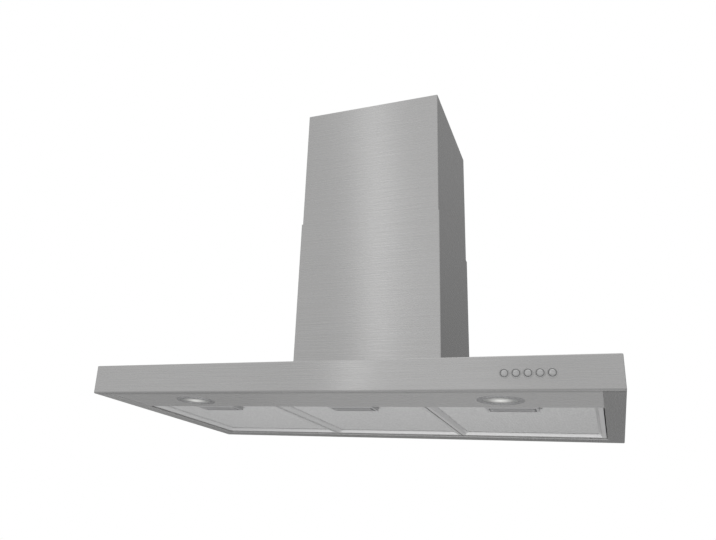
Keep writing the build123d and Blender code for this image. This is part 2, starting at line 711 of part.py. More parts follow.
def latch_spring(index):
    """Leaf spring, bent to a shallow V between the grip and the tray's rear wall."""
    x = filter_mid_x(index)
    y0 = GRIP_REAR_Y + SPRING_GAP
    y1 = LATCH_POCKET_REAR_Y - SPRING_GAP
    reach = GRIP_WIDTH / 2 - SPRING_END_INSET
    flat = SPRING_FLAT / 2
    t = SPRING_STRIP
    z1 = LATCH_TOP_Z - LATCH_WALL - TONGUE_CLEARANCE
    outline = Polyline(
        (x - reach, y1 - t),
        (x - flat, y0),
        (x + flat, y0),
        (x + reach, y1 - t),
        (x + reach, y1),
        (x + flat - t, y0 + t),
        (x - flat + t, y0 + t),
        (x - reach, y1),
        close=True,
    )
    return Pos(0, 0, z1 - SPRING_HEIGHT) * extrude(make_face(outline), amount=SPRING_HEIGHT)


def box_screw_places():
    x = BOX_HALF - BOX_FLANGE / 2
    ys = (-BOX_SCREW_INSET, -BOX_DEPTH + BOX_SCREW_INSET)
    return [(side * x, y) for side in (-1, 1) for y in ys]


def blower_box():
    """Folded box without a top: back on the wall, flanges turned in at the bottom and top."""
    body = block(-BOX_HALF, BOX_HALF, -BOX_DEPTH, 0, DECK_Z, BOX_TOP_Z)
    body = fillet(body.edges().filter_by(Axis.Z), BEND_RADIUS)
    t = BOX_SHEET
    body -= block(-BOX_HALF + t, BOX_HALF - t, -BOX_DEPTH + t, -t, DECK_Z + t, BOX_TOP_Z - t)
    clear = BOX_HALF - BOX_FLANGE
    body -= block(
        -clear, clear, -BOX_DEPTH + BOX_FLANGE, -BOX_FLANGE, DECK_Z - OVERCUT, BOX_TOP_Z + OVERCUT
    )
    for x, z in wall_hole_places():
        body -= lying(x, z, -2 * t, t, WALL_HOLE_R)
    for x, y in box_screw_places():
        body -= upright(x, y, DECK_Z - t, DECK_Z + 2 * t, SCREW_HOLE_R)
        body -= upright(x, y, BOX_TOP_Z - 2 * t, BOX_TOP_Z + t, SCREW_HOLE_R)
    return body


def wall_hole_places():
    low = DECK_Z + WALL_HOLE_LOW
    heights = (low, low + WALL_HOLE_SPACING_Z)
    return [(side * WALL_HOLE_SPACING_X / 2, z) for side in (-1, 1) for z in heights]


def outlet_plate():
    """Plate screwed on the box, with the round outlet and the hole for the cable gland."""
    plate = block(-BOX_HALF, BOX_HALF, -BOX_DEPTH, 0, PLATE_UNDER_Z, PLATE_TOP_Z)
    plate = fillet(plate.edges().filter_by(Axis.Z), BEND_RADIUS)
    low, high = PLATE_UNDER_Z - OVERCUT, PLATE_TOP_Z + OVERCUT
    plate -= upright(0, BOX_MID_Y, low, high, COLLAR_INNER_R)
    plate -= upright(GLAND_X, -GLAND_FROM_WALL, low, high, GLAND_THREAD_R + GLAND_HOLE_GAP)
    for x, y in box_screw_places():
        plate -= upright(x, y, low, high, SCREW_HOLE_R)
    for x, y in collar_screw_places():
        plate -= upright(x, y, low, high, SCREW_HOLE_R)
    return plate


def collar_screw_places():
    r = COLLAR_SCREW_CIRCLE_R
    angles = [math.radians(turn) for turn in COLLAR_SCREW_TURNS_DEG]
    return [(r * math.cos(a), BOX_MID_Y + r * math.sin(a)) for a in angles]


def outlet_collar():
    """Collar for the duct: flange, tube with a slightly drawn-in mouth, and the flaps' stop."""
    top = PLATE_TOP_Z + COLLAR_HEIGHT
    inner = COLLAR_INNER_R
    collar = turned(
        0,
        BOX_MID_Y,
        [
            (inner, PLATE_TOP_Z),
            (COLLAR_FLANGE_R, PLATE_TOP_Z),
            (COLLAR_FLANGE_R, PLATE_TOP_Z + COLLAR_WALL),
            (COLLAR_R, PLATE_TOP_Z + COLLAR_WALL),
            (COLLAR_R, top - COLLAR_MOUTH),
            (COLLAR_R - COLLAR_MOUTH, top),
            (inner, top),
            (inner, FLAP_STOP_TOP_Z),
            (inner - FLAP_STOP, FLAP_STOP_TOP_Z),
            (inner - FLAP_STOP, FLAP_STOP_Z),
            (inner, FLAP_STOP_Z - FLAP_STOP / 2),
        ],
    )
    reach = COLLAR_R + OVERCUT
    hole_r = FLAP_PIN_R + FLAP_PIN_CLEARANCE / 2
    collar -= lying(0, FLAP_PIN_Z, BOX_MID_Y - reach, BOX_MID_Y + reach, hole_r)
    for x, y in collar_screw_places():
        collar -= upright(x, y, PLATE_TOP_Z - OVERCUT, PLATE_TOP_Z + 2 * COLLAR_WALL, SCREW_HOLE_R)
    return collar


def flap_pin():
    reach = COLLAR_R - FLAP_PIN_INSET
    return lying(0, FLAP_PIN_Z, BOX_MID_Y - reach, BOX_MID_Y + reach, FLAP_PIN_R)


def backdraft_flap(side):
    """Half disc with knuckles round the pin; the other flap's knuckles fill the gaps."""
    radius = COLLAR_INNER_R - FLAP_EDGE_GAP
    top = FLAP_Z + FLAP_THICKNESS
    flap = upright(0, BOX_MID_Y, FLAP_Z, top, radius)
    x0, x1 = sorted((side * (radius + OVERCUT), side * FLAP_MID_GAP))
    y0, y1 = BOX_MID_Y - radius - OVERCUT, BOX_MID_Y + radius + OVERCUT
    flap &= block(x0, x1, y0, y1, FLAP_Z - OVERCUT, top + OVERCUT)
    start = BOX_MID_Y - KNUCKLE_COUNT / 2 * KNUCKLE_LENGTH
    first = 0 if side < 0 else 1
    for i in range(first, KNUCKLE_COUNT, 2):
        y0 = start + i * KNUCKLE_LENGTH + KNUCKLE_GAP / 2
        y1 = y0 + KNUCKLE_LENGTH - KNUCKLE_GAP
        x0, x1 = sorted((side * (FLAP_MID_GAP + OVERCUT), 0))
        flap += block(x0, x1, y0, y1, FLAP_Z, top)
        flap += lying(0, FLAP_PIN_Z, y0, y1, FLAP_KNUCKLE_R)
    return flap - lying(
        0, FLAP_PIN_Z, BOX_MID_Y - radius, BOX_MID_Y + radius, FLAP_PIN_R + FLAP_PIN_CLEARANCE
    )


def scroll_outline(grow):
    """Snail-shaped XZ outline: spiral round the wheel, open throat at the right, going up."""
    tongue_x = TONGUE_X - grow
    start_r = SCROLL_START_R + grow
    start_deg = math.degrees(math.acos(tongue_x / start_r))
    points = []
    for i in range(SPIRAL_STEPS + 1):
        share = i / SPIRAL_STEPS
        radius = start_r + SCROLL_GROWTH * share
        angle = math.radians(start_deg + (360 - start_deg) * share)
        points.append((WHEEL_X + radius * math.cos(angle), 0, WHEEL_Z + radius * math.sin(angle)))
    right = points[-1][0]
    spiral = Spline(*points)
    walls = Polyline(
        points[-1], (right, 0, NECK_Z), (WHEEL_X + tongue_x, 0, NECK_Z), points[0]
    )
    return make_face([*spiral.edges(), *walls.edges()])


def scroll_half(front):
    """Half of the fan housing: spiral wall, side plate with its inlet, flange along the seam."""
    mid = WHEEL_MID_Y
    side = -1 if front else 1
    inner_y = mid + side * SCROLL_HALF_DEPTH
    outer_y = inner_y + side * SCROLL_WALL
    lip_y = outer_y + side * INLET_LIP
    half = slab(scroll_outline(SCROLL_WALL), *sorted((outer_y, mid)))
    half += slab(scroll_outline(SCROLL_OUTSET), *sorted((mid + side * SCROLL_WALL, mid)))
    half -= slab(scroll_outline(0), *sorted((inner_y, mid)))
    half += lying(WHEEL_X, WHEEL_Z, *sorted((lip_y, inner_y)), INLET_R + SCROLL_WALL)
    opening = sorted((lip_y + side * OVERCUT, inner_y - side * OVERCUT))
    half -= lying(WHEEL_X, WHEEL_Z, *opening, INLET_R)
    throat = block(
        WHEEL_X + TONGUE_X,
        WHEEL_X + SCROLL_END_R,
        *sorted((inner_y, mid)),
        NECK_Z - OVERCUT,
        NECK_Z + OVERCUT,
    )
    return half - throat


def neck_section(grow, z):
    """Rounded rectangle of the scroll's throat."""
    width = SCROLL_END_R - TONGUE_X + 2 * grow
    depth = 2 * SCROLL_HALF_DEPTH + 2 * grow
    middle = WHEEL_X + (SCROLL_END_R + TONGUE_X) / 2
    return Pos(middle, WHEEL_MID_Y, z) * RectangleRounded(width, depth, NECK_CORNER_R + grow)


def outlet_neck():
    """Neck that changes from the throat's rectangle to the round outlet, with a flange on top."""
    top = PLATE_UNDER_Z
    mouth = Pos(0, BOX_MID_Y, top)
    outer = loft([neck_section(SCROLL_WALL, NECK_Z), mouth * Circle(NECK_TOP_R + SCROLL_WALL)])
    inner = loft([neck_section(0, NECK_Z), mouth * Circle(NECK_TOP_R)])
    flange = upright(0, BOX_MID_Y, top - NECK_FLANGE, top, NECK_FLANGE_R)
    return (outer + flange) - inner


def blade():
    """One forward-curved blade as a bent strip, in the wheel's own frame (XZ, axis at 0)."""
    sweep = math.radians(BLADE_SWEEP_DEG)

    def at(radius, turn, out):
        """Point at a radius and turn, moved out along the blade's hollow side."""
        return (radius * math.cos(turn), 0, radius * math.sin(turn) + out)

    middle = (WHEEL_INNER_R + WHEEL_R) / 2
    low = ThreePointArc(
        at(WHEEL_INNER_R, 0, 0), at(middle, sweep / 2, -BLADE_BULGE), at(WHEEL_R, sweep, 0)
    )
    t = BLADE_THICKNESS
    high = ThreePointArc(
        at(WHEEL_R, sweep, t), at(middle, sweep / 2, t - BLADE_BULGE), at(WHEEL_INNER_R, 0, t)
    )
    ends = [Line(low @ 1, high @ 0), Line(high @ 1, low @ 0)]
    return make_face([*low.edges(), *ends[0].edges(), *high.edges(), *ends[1].edges()])


def impeller():
    """Double-inlet wheel: blades between two end rings, carried by a disc at half width."""
    y0 = WHEEL_MID_Y - WHEEL_WIDTH / 2
    y1 = WHEEL_MID_Y + WHEEL_WIDTH / 2
    strip = slab(blade(), y0, y1)
    blades = [Rot(0, -i * 360 / BLADE_COUNT, 0) * strip for i in range(BLADE_COUNT)]
    disc_half = WHEEL_DISC / 2
    disc = lying(0, 0, WHEEL_MID_Y - disc_half, WHEEL_MID_Y + disc_half, WHEEL_R)
    hub = lying(0, 0, WHEEL_MID_Y - HUB_FRONT, WHEEL_MID_Y + HUB_REAR, HUB_R)
    rings = []
    for ring_y in (y0, y1 - WHEEL_RING):
        ring = lying(0, 0, ring_y, ring_y + WHEEL_RING, WHEEL_R)
        opening = (ring_y - OVERCUT, ring_y + WHEEL_RING + OVERCUT)
        rings.append(ring - lying(0, 0, *opening, WHEEL_RING_R))
    wheel = (disc + hub).fuse(*blades, *rings)
    wheel -= lying(0, 0, y0, y1, SHAFT_R + BEARING_CLEARANCE / 2)
    return Pos(WHEEL_X, 0, WHEEL_Z) * wheel


def motor_shaft():
    front = WHEEL_MID_Y - HUB_FRONT - NUT_HEIGHT - SHAFT_END
    rear = MOTOR_REAR_Y + MOTOR_BOSS_HEIGHT + SHAFT_END
    return lying(WHEEL_X, WHEEL_Z, front, rear, SHAFT_R)


def wheel_nut():
    rear = WHEEL_MID_Y - HUB_FRONT
    outline = Pos(WHEEL_X, rear, WHEEL_Z) * Rot(90, 0, 0) * RegularPolygon(NUT_R, 6)
    nut = extrude(outline, amount=NUT_HEIGHT)
    bore = (rear - NUT_HEIGHT - OVERCUT, rear + OVERCUT)
    return nut - lying(WHEEL_X, WHEEL_Z, *bore, SHAFT_R + BEARING_CLEARANCE / 2)


def motor_can():
    """Round motor inside the rear of the wheel, with a bearing boss at the rear."""
    boss_rear = MOTOR_REAR_Y + MOTOR_BOSS_HEIGHT
    can = lying(WHEEL_X, WHEEL_Z, MOTOR_FRONT_Y, MOTOR_REAR_Y, MOTOR_R)
    can = fillet(can.edges(), MOTOR_CORNER)
    can += lying(WHEEL_X, WHEEL_Z, MOTOR_REAR_Y - OVERCUT, boss_rear, MOTOR_BOSS_R)
    bore = (MOTOR_FRONT_Y - OVERCUT, boss_rear + OVERCUT)
    return can - lying(WHEEL_X, WHEEL_Z, *bore, SHAFT_R + BEARING_CLEARANCE)


def motor_bracket():
    """Three-armed bracket from the motor's rear, over the inlet's lip, to feet on the scroll."""
    y0 = MOTOR_REAR_Y
    y1 = y0 + BRACKET_THICKNESS
    rim = INLET_R + SCROLL_WALL
    half = BRACKET_ARM_WIDTH / 2
    arm = block(0, rim + BRACKET_REACH, y0, y1, -half, half)
    arm += block(rim + BRACKET_FOOT_GAP, rim + BRACKET_REACH, SCROLL_REAR_Y, y1, -half, half)
    bracket = lying(0, 0, y0, y1, BRACKET_RING_R)
    for turn in BRACKET_ARM_TURNS_DEG:
        bracket += Rot(0, -turn, 0) * arm
    bracket -= lying(0, 0, y0 - OVERCUT, y1 + OVERCUT, MOTOR_BOSS_R + BEARING_CLEARANCE)
    return Pos(WHEEL_X, 0, WHEEL_Z) * bracket


def capacitor_axis():
    """Where the run capacitor stands, against the box's right side."""
    return BOX_HALF - BOX_SHEET - CLIP_WALL - CAPACITOR_R, -BOX_DEPTH + CAPACITOR_FROM_FRONT


def run_capacitor():
    """Bevelled can with two flat lugs on top."""
    x, y = capacitor_axis()
    z0 = DECK_Z + CAPACITOR_HEIGHT_ABOVE_DECK
    z1 = z0 + CAPACITOR_LENGTH
    r = CAPACITOR_R - CAPACITOR_SLACK
    bevel = CAPACITOR_BEVEL
    can = turned(
        x,
        y,
        [(0, z0), (r - bevel, z0), (r, z0 + bevel), (r, z1 - bevel), (r - bevel, z1), (0, z1)],
    )
    for side in (-1, 1):
        mid = x + side * LUG_SPACING / 2
        lug_x = (mid - LUG_THICKNESS / 2, mid + LUG_THICKNESS / 2)
        can += block(*lug_x, y - LUG_WIDTH / 2, y + LUG_WIDTH / 2, z1 - OVERCUT, z1 + LUG_HEIGHT)
    return can


def capacitor_clip():
    """Spring clip round the capacitor, with a pad on the box's side."""
    x, y = capacitor_axis()
    z0 = DECK_Z + CAPACITOR_HEIGHT_ABOVE_DECK + (CAPACITOR_LENGTH - CLIP_WIDTH) / 2
    z1 = z0 + CLIP_WIDTH
    outer = CAPACITOR_R + CLIP_WALL
    clip = upright(x, y, z0, z1, outer)
    clip += block(x, BOX_HALF - BOX_SHEET, y - CLIP_PAD / 2, y + CLIP_PAD / 2, z0, z1)
    low, high = z0 - OVERCUT, z1 + OVERCUT
    clip -= upright(x, y, low, high, CAPACITOR_R)
    mouth_x = x - CAPACITOR_R * CLIP_MOUTH
    return clip - block(x - outer - OVERCUT, mouth_x, y - outer, y + outer, low, high)


def terminal_frame():
    """Inner corner of the terminal box: x of the box's side, its rear y and its top z."""
    return -BOX_HALF + BOX_SHEET, -BOX_SHEET - TERMINAL_FROM_WALL, BOX_TOP_Z - TERMINAL_DROP


def terminal_box():
    """Open tray on the box's left side for the mains terminals."""
    x0, y1, z1 = terminal_frame()
    y0, z0 = y1 - TERMINAL_WIDTH, z1 - TERMINAL_HEIGHT
    face = x0 + TERMINAL_DEPTH
    w = TERMINAL_WALL
    tray = block(x0, face, y0, y1, z0, z1)
    tray -= block(x0 + w, face + OVERCUT, y0 + w, y1 - w, z0 + w, z1 - w)
    z_mid = (z0 + z1) / 2
    block_z = (z_mid - TERMINAL_BLOCK_HEIGHT / 2, z_mid + TERMINAL_BLOCK_HEIGHT / 2)
    for i in range(TERMINAL_BLOCKS):
        mid = y0 + TERMINAL_WIDTH * (i + 1) / (TERMINAL_BLOCKS + 1)
        block_y = (mid - TERMINAL_BLOCK_WIDTH / 2, mid + TERMINAL_BLOCK_WIDTH / 2)
        tray += block(x0 + w - OVERCUT, x0 + w + TERMINAL_BLOCK_DEPTH, *block_y, *block_z)
    mid_x, mid_y = x0 + TERMINAL_DEPTH / 2, (y0 + y1) / 2
    return tray - upright(mid_x, mid_y, z1 - 2 * w, z1 + OVERCUT, TERMINAL_CABLE_R)


def terminal_cover():
    """Lid with a lip inside the tray."""
    x0, y1, z1 = terminal_frame()
    y0, z0 = y1 - TERMINAL_WIDTH, z1 - TERMINAL_HEIGHT
    face = x0 + TERMINAL_DEPTH
    w = TERMINAL_WALL
    lid = block(face, face + w, y0, y1, z0, z1)
    lid = fillet(lid.edges().filter_by(Axis.X), TERMINAL_CORNER)
    rim = w + LID_GAP
    lip = block(face - LID_LIP, face, y0 + rim, y1 - rim, z0 + rim, z1 - rim)
    rim += w
    lip -= block(face - LID_LIP - OVERCUT, face, y0 + rim, y1 - rim, z0 + rim, z1 - rim)
    return lid + lip


def cable_gland():
    """Hexagon gland through the outlet plate, with a domed nut; its bore takes the mains lead."""
    y = -GLAND_FROM_WALL
    top = PLATE_TOP_Z + GLAND_HEIGHT
    body = extrude(
        Pos(GLAND_X, y, PLATE_TOP_Z) * RegularPolygon(GLAND_NUT_R, 6), amount=GLAND_NUT_HEIGHT
    )
    nut = turned(
        GLAND_X,
        y,
        [
            (0, PLATE_TOP_Z),
            (GLAND_DOME_R, PLATE_TOP_Z),
            (GLAND_DOME_R, top - GLAND_NUT_HEIGHT),
            (GLAND_MOUTH_R, top),
            (0, top),
        ],
    )
    tail = upright(GLAND_X, y, PLATE_UNDER_Z - GLAND_TAIL, PLATE_TOP_Z, GLAND_THREAD_R)
    back_nut = extrude(
        Pos(GLAND_X, y, PLATE_UNDER_Z - GLAND_BACK_NUT_HEIGHT) * RegularPolygon(GLAND_NUT_R, 6),
        amount=GLAND_BACK_NUT_HEIGHT,
    )
    bore = (PLATE_UNDER_Z - GLAND_TAIL - OVERCUT, top + OVERCUT)
    return body + nut + tail + back_nut - upright(GLAND_X, y, *bore, GLAND_BORE_R)


def light_transformer():
    """Transformer block on the strip, between the lights, with two eyelet ears."""
    half = TRANSFORMER_WIDTH / 2
    y0 = STRIP_MID_Y - TRANSFORMER_DEPTH / 2
    z0 = STRIP_TOP_Z
    body = block(-half, half, y0, y0 + TRANSFORMER_DEPTH, z0, z0 + TRANSFORMER_HEIGHT)
    body = fillet(body.edges().filter_by(Axis.Z), TRANSFORMER_CORNER)
    ear_top = z0 + TRANSFORMER_EAR_THICKNESS
    ear_y = (STRIP_MID_Y - TRANSFORMER_EAR_WIDTH / 2, STRIP_MID_Y + TRANSFORMER_EAR_WIDTH / 2)
    for side in (-1, 1):
        x0, x1 = sorted((side * (half - OVERCUT), side * (half + TRANSFORMER_EAR)))
        body += block(x0, x1, *ear_y, z0, ear_top)
        hole_x = side * (half + TRANSFORMER_EAR / 2)
        body -= upright(hole_x, STRIP_MID_Y, z0 - OVERCUT, ear_top + OVERCUT, SCREW_HOLE_R)
    return body


def cover_section(half, front_y, rear_y, turn_in):
    """Plan section of a folded chimney cover: front, two sides and turned-in rear edges."""
    width, depth = 2 * half, rear_y - front_y
    middle = Pos(0, (front_y + rear_y) / 2)
    ring = middle * RectangleRounded(width, depth, COVER_BEND)
    inner_bend = COVER_BEND - COVER_SHEET
    ring -= middle * RectangleRounded(width - 2 * COVER_SHEET, depth - 2 * COVER_SHEET, inner_bend)
    gap = half - turn_in
    return ring - Pos(0, rear_y) * Rectangle(2 * gap, 4 * COVER_SHEET)


def chimney_lower_cover():
    section = cover_section(CHIMNEY_WIDTH / 2, -CHIMNEY_DEPTH, 0, LOWER_RETURN)
    return extrude(Pos(0, 0, DECK_Z) * section, amount=LOWER_COVER_HEIGHT)


def chimney_upper_cover():
    section = cover_section(UPPER_HALF, -CHIMNEY_DEPTH + UPPER_INSET, -UPPER_INSET, UPPER_RETURN)
    cover = extrude(Pos(0, 0, UPPER_BOTTOM_Z) * section, amount=UPPER_COVER_HEIGHT)
    for x, z in bracket_screw_places():
        cover -= lying(x, z, -UPPER_INSET - 2 * COVER_SHEET, 0, SCREW_HOLE_R)
    return cover


def bracket_half():
    return CHIMNEY_WIDTH / 2 - LOWER_RETURN - BRACKET_MARGIN


def bracket_top():
    return UPPER_TOP_Z - BRACKET_DROP


def bracket_screw_places():
    x = (bracket_half() + UPPER_HALF - UPPER_RETURN) / 2
    z = bracket_top() - BRACKET_HEIGHT / 2
    return [(-x, z), (x, z)]


def chimney_bracket():
    """Plate on the wall behind the upper cover's turned-in edges, with a lip along its top."""
    half = bracket_half()
    top = bracket_top()
    plate = block(-half, half, -UPPER_INSET, 0, top - BRACKET_HEIGHT, top)
    lip_half = UPPER_HALF - UPPER_RETURN - BRACKET_LIP_INSET
    lip_y = -UPPER_INSET - BRACKET_LIP
    plate += block(-lip_half, lip_half, lip_y, -UPPER_INSET, top - UPPER_INSET, top)
    for side in (-1, 1):
        x = side * BRACKET_HOLE_SPACING / 2
        z = top - BRACKET_HEIGHT / 2
        plate -= lying(x, z, -UPPER_INSET - OVERCUT, OVERCUT, BRACKET_HOLE_R)
    for x, z in bracket_screw_places():
        plate -= lying(x, z, -UPPER_INSET - OVERCUT, OVERCUT, SCREW_R)
    return plate


def push_button(x):
    """Round cap with a slightly domed face and a stem that reaches into the switch."""
    face = FRONT_Y - BUTTON_PROUD
    r = BUTTON_R
    stem_end = STEM_REAR_Y - face
    dome = [(share * r, 0, BUTTON_DOME * share**4) for share in BUTTON_DOME_STEPS]
    outline = make_face(
        Polyline(
            *dome,
            (r, 0, BUTTON_CAP),
            (BUTTON_STEM_R, 0, BUTTON_CAP),
            (BUTTON_STEM_R, 0, stem_end),
            (0, 0, stem_end),
            close=True,
        )
    )
    return Pos(x, face, BUTTON_Z) * Rot(-90, 0, 0) * revolve(outline, Axis.Z)


def button_ring(x):
    """Trim ring on the front with a sleeve through the sheet."""
    inner = BUTTON_R + BUTTON_CLEARANCE
    sleeve = RING_SLEEVE_R
    outline = make_face(
        Polyline(
            (inner, 0, 0),
            (RING_R - RING_BEVEL, 0, 0),
            (RING_R, 0, RING_BEVEL),
            (RING_R, 0, RING_PROUD),
            (sleeve, 0, RING_PROUD),
            (sleeve, 0, RING_PROUD + RING_SLEEVE),
            (inner, 0, RING_PROUD + RING_SLEEVE),
            close=True,
        )
    )
    return Pos(x, FRONT_Y - RING_PROUD, BUTTON_Z) * Rot(-90, 0, 0) * revolve(outline, Axis.Z)


def switch_extent():
    """Ends of the switch housing in x and z."""
    x0, x1 = BUTTON_XS[0] - SWITCH_MARGIN, BUTTON_XS[-1] + SWITCH_MARGIN
    return x0, x1, BUTTON_Z - SWITCH_HEIGHT / 2, BUTTON_Z + SWITCH_HEIGHT / 2


def switch_housing():
    """Moulded block behind the front, with a pocket for the caps and a bore for each stem."""
    x0, x1, z0, z1 = switch_extent()
    body = block(x0, x1, FRONT_INNER_Y, SWITCH_REAR_Y, z0, z1)
    m = SWITCH_POCKET_MARGIN
    body -= block(
        BUTTON_XS[0] - m,
        BUTTON_XS[-1] + m,
        FRONT_INNER_Y - OVERCUT,
        POCKET_REAR_Y,
        BUTTON_Z - m,
        BUTTON_Z + m,
    )
    bore = (FRONT_INNER_Y, SWITCH_REAR_Y + OVERCUT)
    for x in BUTTON_XS:
        body -= lying(x, BUTTON_Z, *bore, BUTTON_STEM_R + STEM_CLEARANCE)
    return body


def switch_board():
    """Circuit board on the back of the switch housing, with a signal and a power socket."""
    x0, x1, z0, z1 = switch_extent()
    rear = SWITCH_REAR_Y + BOARD_THICKNESS
    board = block(x0, x1, SWITCH_REAR_Y, rear, z0, z1)
    signal_x, power_x = x0 + SOCKET_EDGE, x1 - SOCKET_EDGE
    socket_z = (BUTTON_Z - SOCKET_HEIGHT / 2, BUTTON_Z + SOCKET_HEIGHT / 2)
    board += block(signal_x, signal_x + SIGNAL_SOCKET_WIDTH, rear, rear + SOCKET_DEPTH, *socket_z)
    board += block(power_x - POWER_SOCKET_WIDTH, power_x, rear, rear + SOCKET_DEPTH, *socket_z)
    return board


def screw(x, y, head_z, length, up):
    """Pan-head screw, its head's seat at head_z, driven upwards or downwards."""
    way = 1 if up else -1
    r = SCREW_HEAD_R
    return turned(
        x,
        y,
        [
            (0, head_z - way * SCREW_HEAD),
            (SCREW_CROWN_R, head_z - way * SCREW_HEAD),
            (r, head_z - way * SCREW_HEAD / 2),
            (r, head_z),
            (SCREW_R, head_z),
            (SCREW_R, head_z + way * length),
            (0, head_z + way * length),
        ],
    )


def box_screws():
    """Screws through the deck into the box, and through the outlet plate into the box."""
    places = box_screw_places()
    low = [screw(x, y, DECK_UNDER_Z, SHEET + BOX_SHEET + SCREW_END, True) for x, y in places]
    high = [screw(x, y, PLATE_TOP_Z, 2 * BOX_SHEET + SCREW_END, False) for x, y in places]
    return low + high


def collar_screws():
    """Screws through the collar's flange, flush with the underside of the outlet plate."""
    seat = PLATE_TOP_Z + COLLAR_WALL
    length = COLLAR_WALL + BOX_SHEET
    return [screw(x, y, seat, length, False) for x, y in collar_screw_places()]


def strip_screws():
    """Screws from above through the strip into the rim, just short of its lower face."""
    length = STRIP_SHEET + SHEET - STRIP_SCREW_TIP
    return [screw(x, strip_screw_y(), STRIP_TOP_Z, length, False) for x in strip_screw_xs()]


def bracket_screws():
    """Screws from inside the chimney through the upper cover's edges into the bracket."""
    seat = -UPPER_INSET - COVER_SHEET
    screws = []
    for x, z in bracket_screw_places():
        shank = lying(x, z, seat, -BRACKET_SCREW_GAP, SCREW_R - BRACKET_SCREW_SLACK)
        head = lying(x, z, seat - SCREW_HEAD, seat, SCREW_HEAD_R)
        screws.append(shank + head)
    return screws


def build_parts():
    parts = {
        "canopy_shell": canopy_shell(),
        "light_strip": light_strip(),
        "light_transformer": light_transformer(),
        "blower_box": blower_box(),
        "outlet_plate": outlet_plate(),
        "outlet_collar": outlet_collar(),
        "flap_pin": flap_pin(),
        "scroll_front": scroll_half(True),
        "scroll_rear": scroll_half(False),
        "outlet_neck": outlet_neck(),
        "impeller": impeller(),
        "motor_shaft": motor_shaft(),
        "wheel_nut": wheel_nut(),
        "motor_can": motor_can(),
        "motor_bracket": motor_bracket(),
        "run_capacitor": run_capacitor(),
        "capacitor_clip": capacitor_clip(),
        "terminal_box": terminal_box(),
        "terminal_cover": terminal_cover(),
        "cable_gland": cable_gland(),
        "chimney_lower_cover": chimney_lower_cover(),
        "chimney_upper_cover": chimney_upper_cover(),
        "chimney_bracket": chimney_bracket(),
        "switch_housing": switch_housing(),
        "switch_board": switch_board(),
    }
    for side, name in zip((-1, 1), SIDES):
        x = side * LIGHT_X
        parts[f"light_trim_{name}"] = light_trim(x)
        parts[f"light_lens_{name}"] = light_lens(x)
        parts[f"light_can_{name}"] = light_can(x)
        parts[f"light_bulb_{name}"] = light_bulb(x)
        parts[f"backdraft_flap_{name}"] = backdraft_flap(side)
    for index, name in enumerate(FILTER_NAMES):
        parts[f"filter_frame_{name}"] = filter_frame(index)
        parts[f"filter_mesh_{name}"] = filter_mesh(index)
        parts[f"latch_housing_{name}"] = latch_housing(index)
        parts[f"latch_slider_{name}"] = latch_slider(index)
        parts[f"latch_spring_{name}"] = latch_spring(index)
    for number, x in enumerate(BUTTON_XS, start=1):
        parts[f"push_button_{number}"] = push_button(x)
    groups = {
        "button_rings": [button_ring(x) for x in BUTTON_XS],
        "box_screws": box_screws(),
        "collar_screws": collar_screws(),
        "strip_screws": strip_screws(),
        "bracket_screws": bracket_screws(),
    }
    for name, solids in groups.items():
        parts[name] = Compound(children=solids)
    return parts


def main():
    os.makedirs("parts", exist_ok=True)
    for name, part in build_parts().items():
        export_step(part, f"parts/{name}.step")


main()
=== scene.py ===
import functools
import json
import math
from collections import namedtuple

import bpy
from mathutils import Matrix, Vector


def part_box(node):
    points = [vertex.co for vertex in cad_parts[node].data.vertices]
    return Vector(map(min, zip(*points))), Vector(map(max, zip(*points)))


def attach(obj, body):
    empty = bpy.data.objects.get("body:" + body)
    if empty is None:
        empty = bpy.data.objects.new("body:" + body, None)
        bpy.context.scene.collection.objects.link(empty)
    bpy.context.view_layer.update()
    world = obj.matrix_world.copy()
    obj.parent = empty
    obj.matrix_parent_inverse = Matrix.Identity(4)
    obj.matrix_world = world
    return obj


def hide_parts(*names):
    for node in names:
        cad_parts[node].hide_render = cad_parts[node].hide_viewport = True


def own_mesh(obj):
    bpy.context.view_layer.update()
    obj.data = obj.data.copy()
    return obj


# Chimney range hood, seen from below and from its right, on the wall plane y = 0. Metres.
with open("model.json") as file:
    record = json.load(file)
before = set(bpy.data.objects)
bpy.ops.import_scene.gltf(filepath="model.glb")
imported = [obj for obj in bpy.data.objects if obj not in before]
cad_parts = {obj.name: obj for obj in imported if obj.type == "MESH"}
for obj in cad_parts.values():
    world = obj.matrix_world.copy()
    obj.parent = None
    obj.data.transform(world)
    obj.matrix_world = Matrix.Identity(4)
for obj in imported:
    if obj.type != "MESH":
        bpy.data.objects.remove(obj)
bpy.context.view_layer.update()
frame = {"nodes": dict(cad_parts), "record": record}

SIDES = ("left", "middle", "right")
BUTTONS = [f"push_button_{number}" for number in range(1, 6)]
LENSES = ["light_lens_left", "light_lens_right"]

# Camera, from the photograph's frame of 716 x 540 pixels. Angles in radians
IMAGE_WIDTH_PX = 716
CAMERA_PLACE = (0.4223, -1.6266, -0.2077)
CAMERA_YAW = -0.45857
CAMERA_PITCH = 0.36063
CAMERA_ROLL = 0.08026
FOCAL_PX = 710.95
SHIFT_X_PX = 90.59
SHIFT_Y_PX = -13.46
SENSOR_MM = 36.0
CLIP_START = 0.01

# The canopy's end and rear walls fold under around the filters: from here outwards, and below this height
END_FOLD_X = 0.4195
REAR_FOLD_Y = -0.0455
FOLD_TOP_Z = 0.003

# Painted shadow of the gap along the light strip's front edge: how far it reaches, and what it leaves of the
# colour
SEAM_SHADOW_REACH = 0.012
SEAM_PAINTED_SHADE = (0.68, 0.68, 0.68)

# Least part of a face's normal that lies along z on a level sheet, and along x on an end wall
LEVEL_FACING = 0.8
END_FACING = 0.7

# In the finishes below, colours are linear, a noise is its features per metre, detail and roughness, a bump
# is its strength and depth, and a pair of roughnesses belongs to the lowest and the highest noise. Most
# finishes go from one end of their range to the other over these noise values
NOISE_SPAN = (0.3, 0.7)

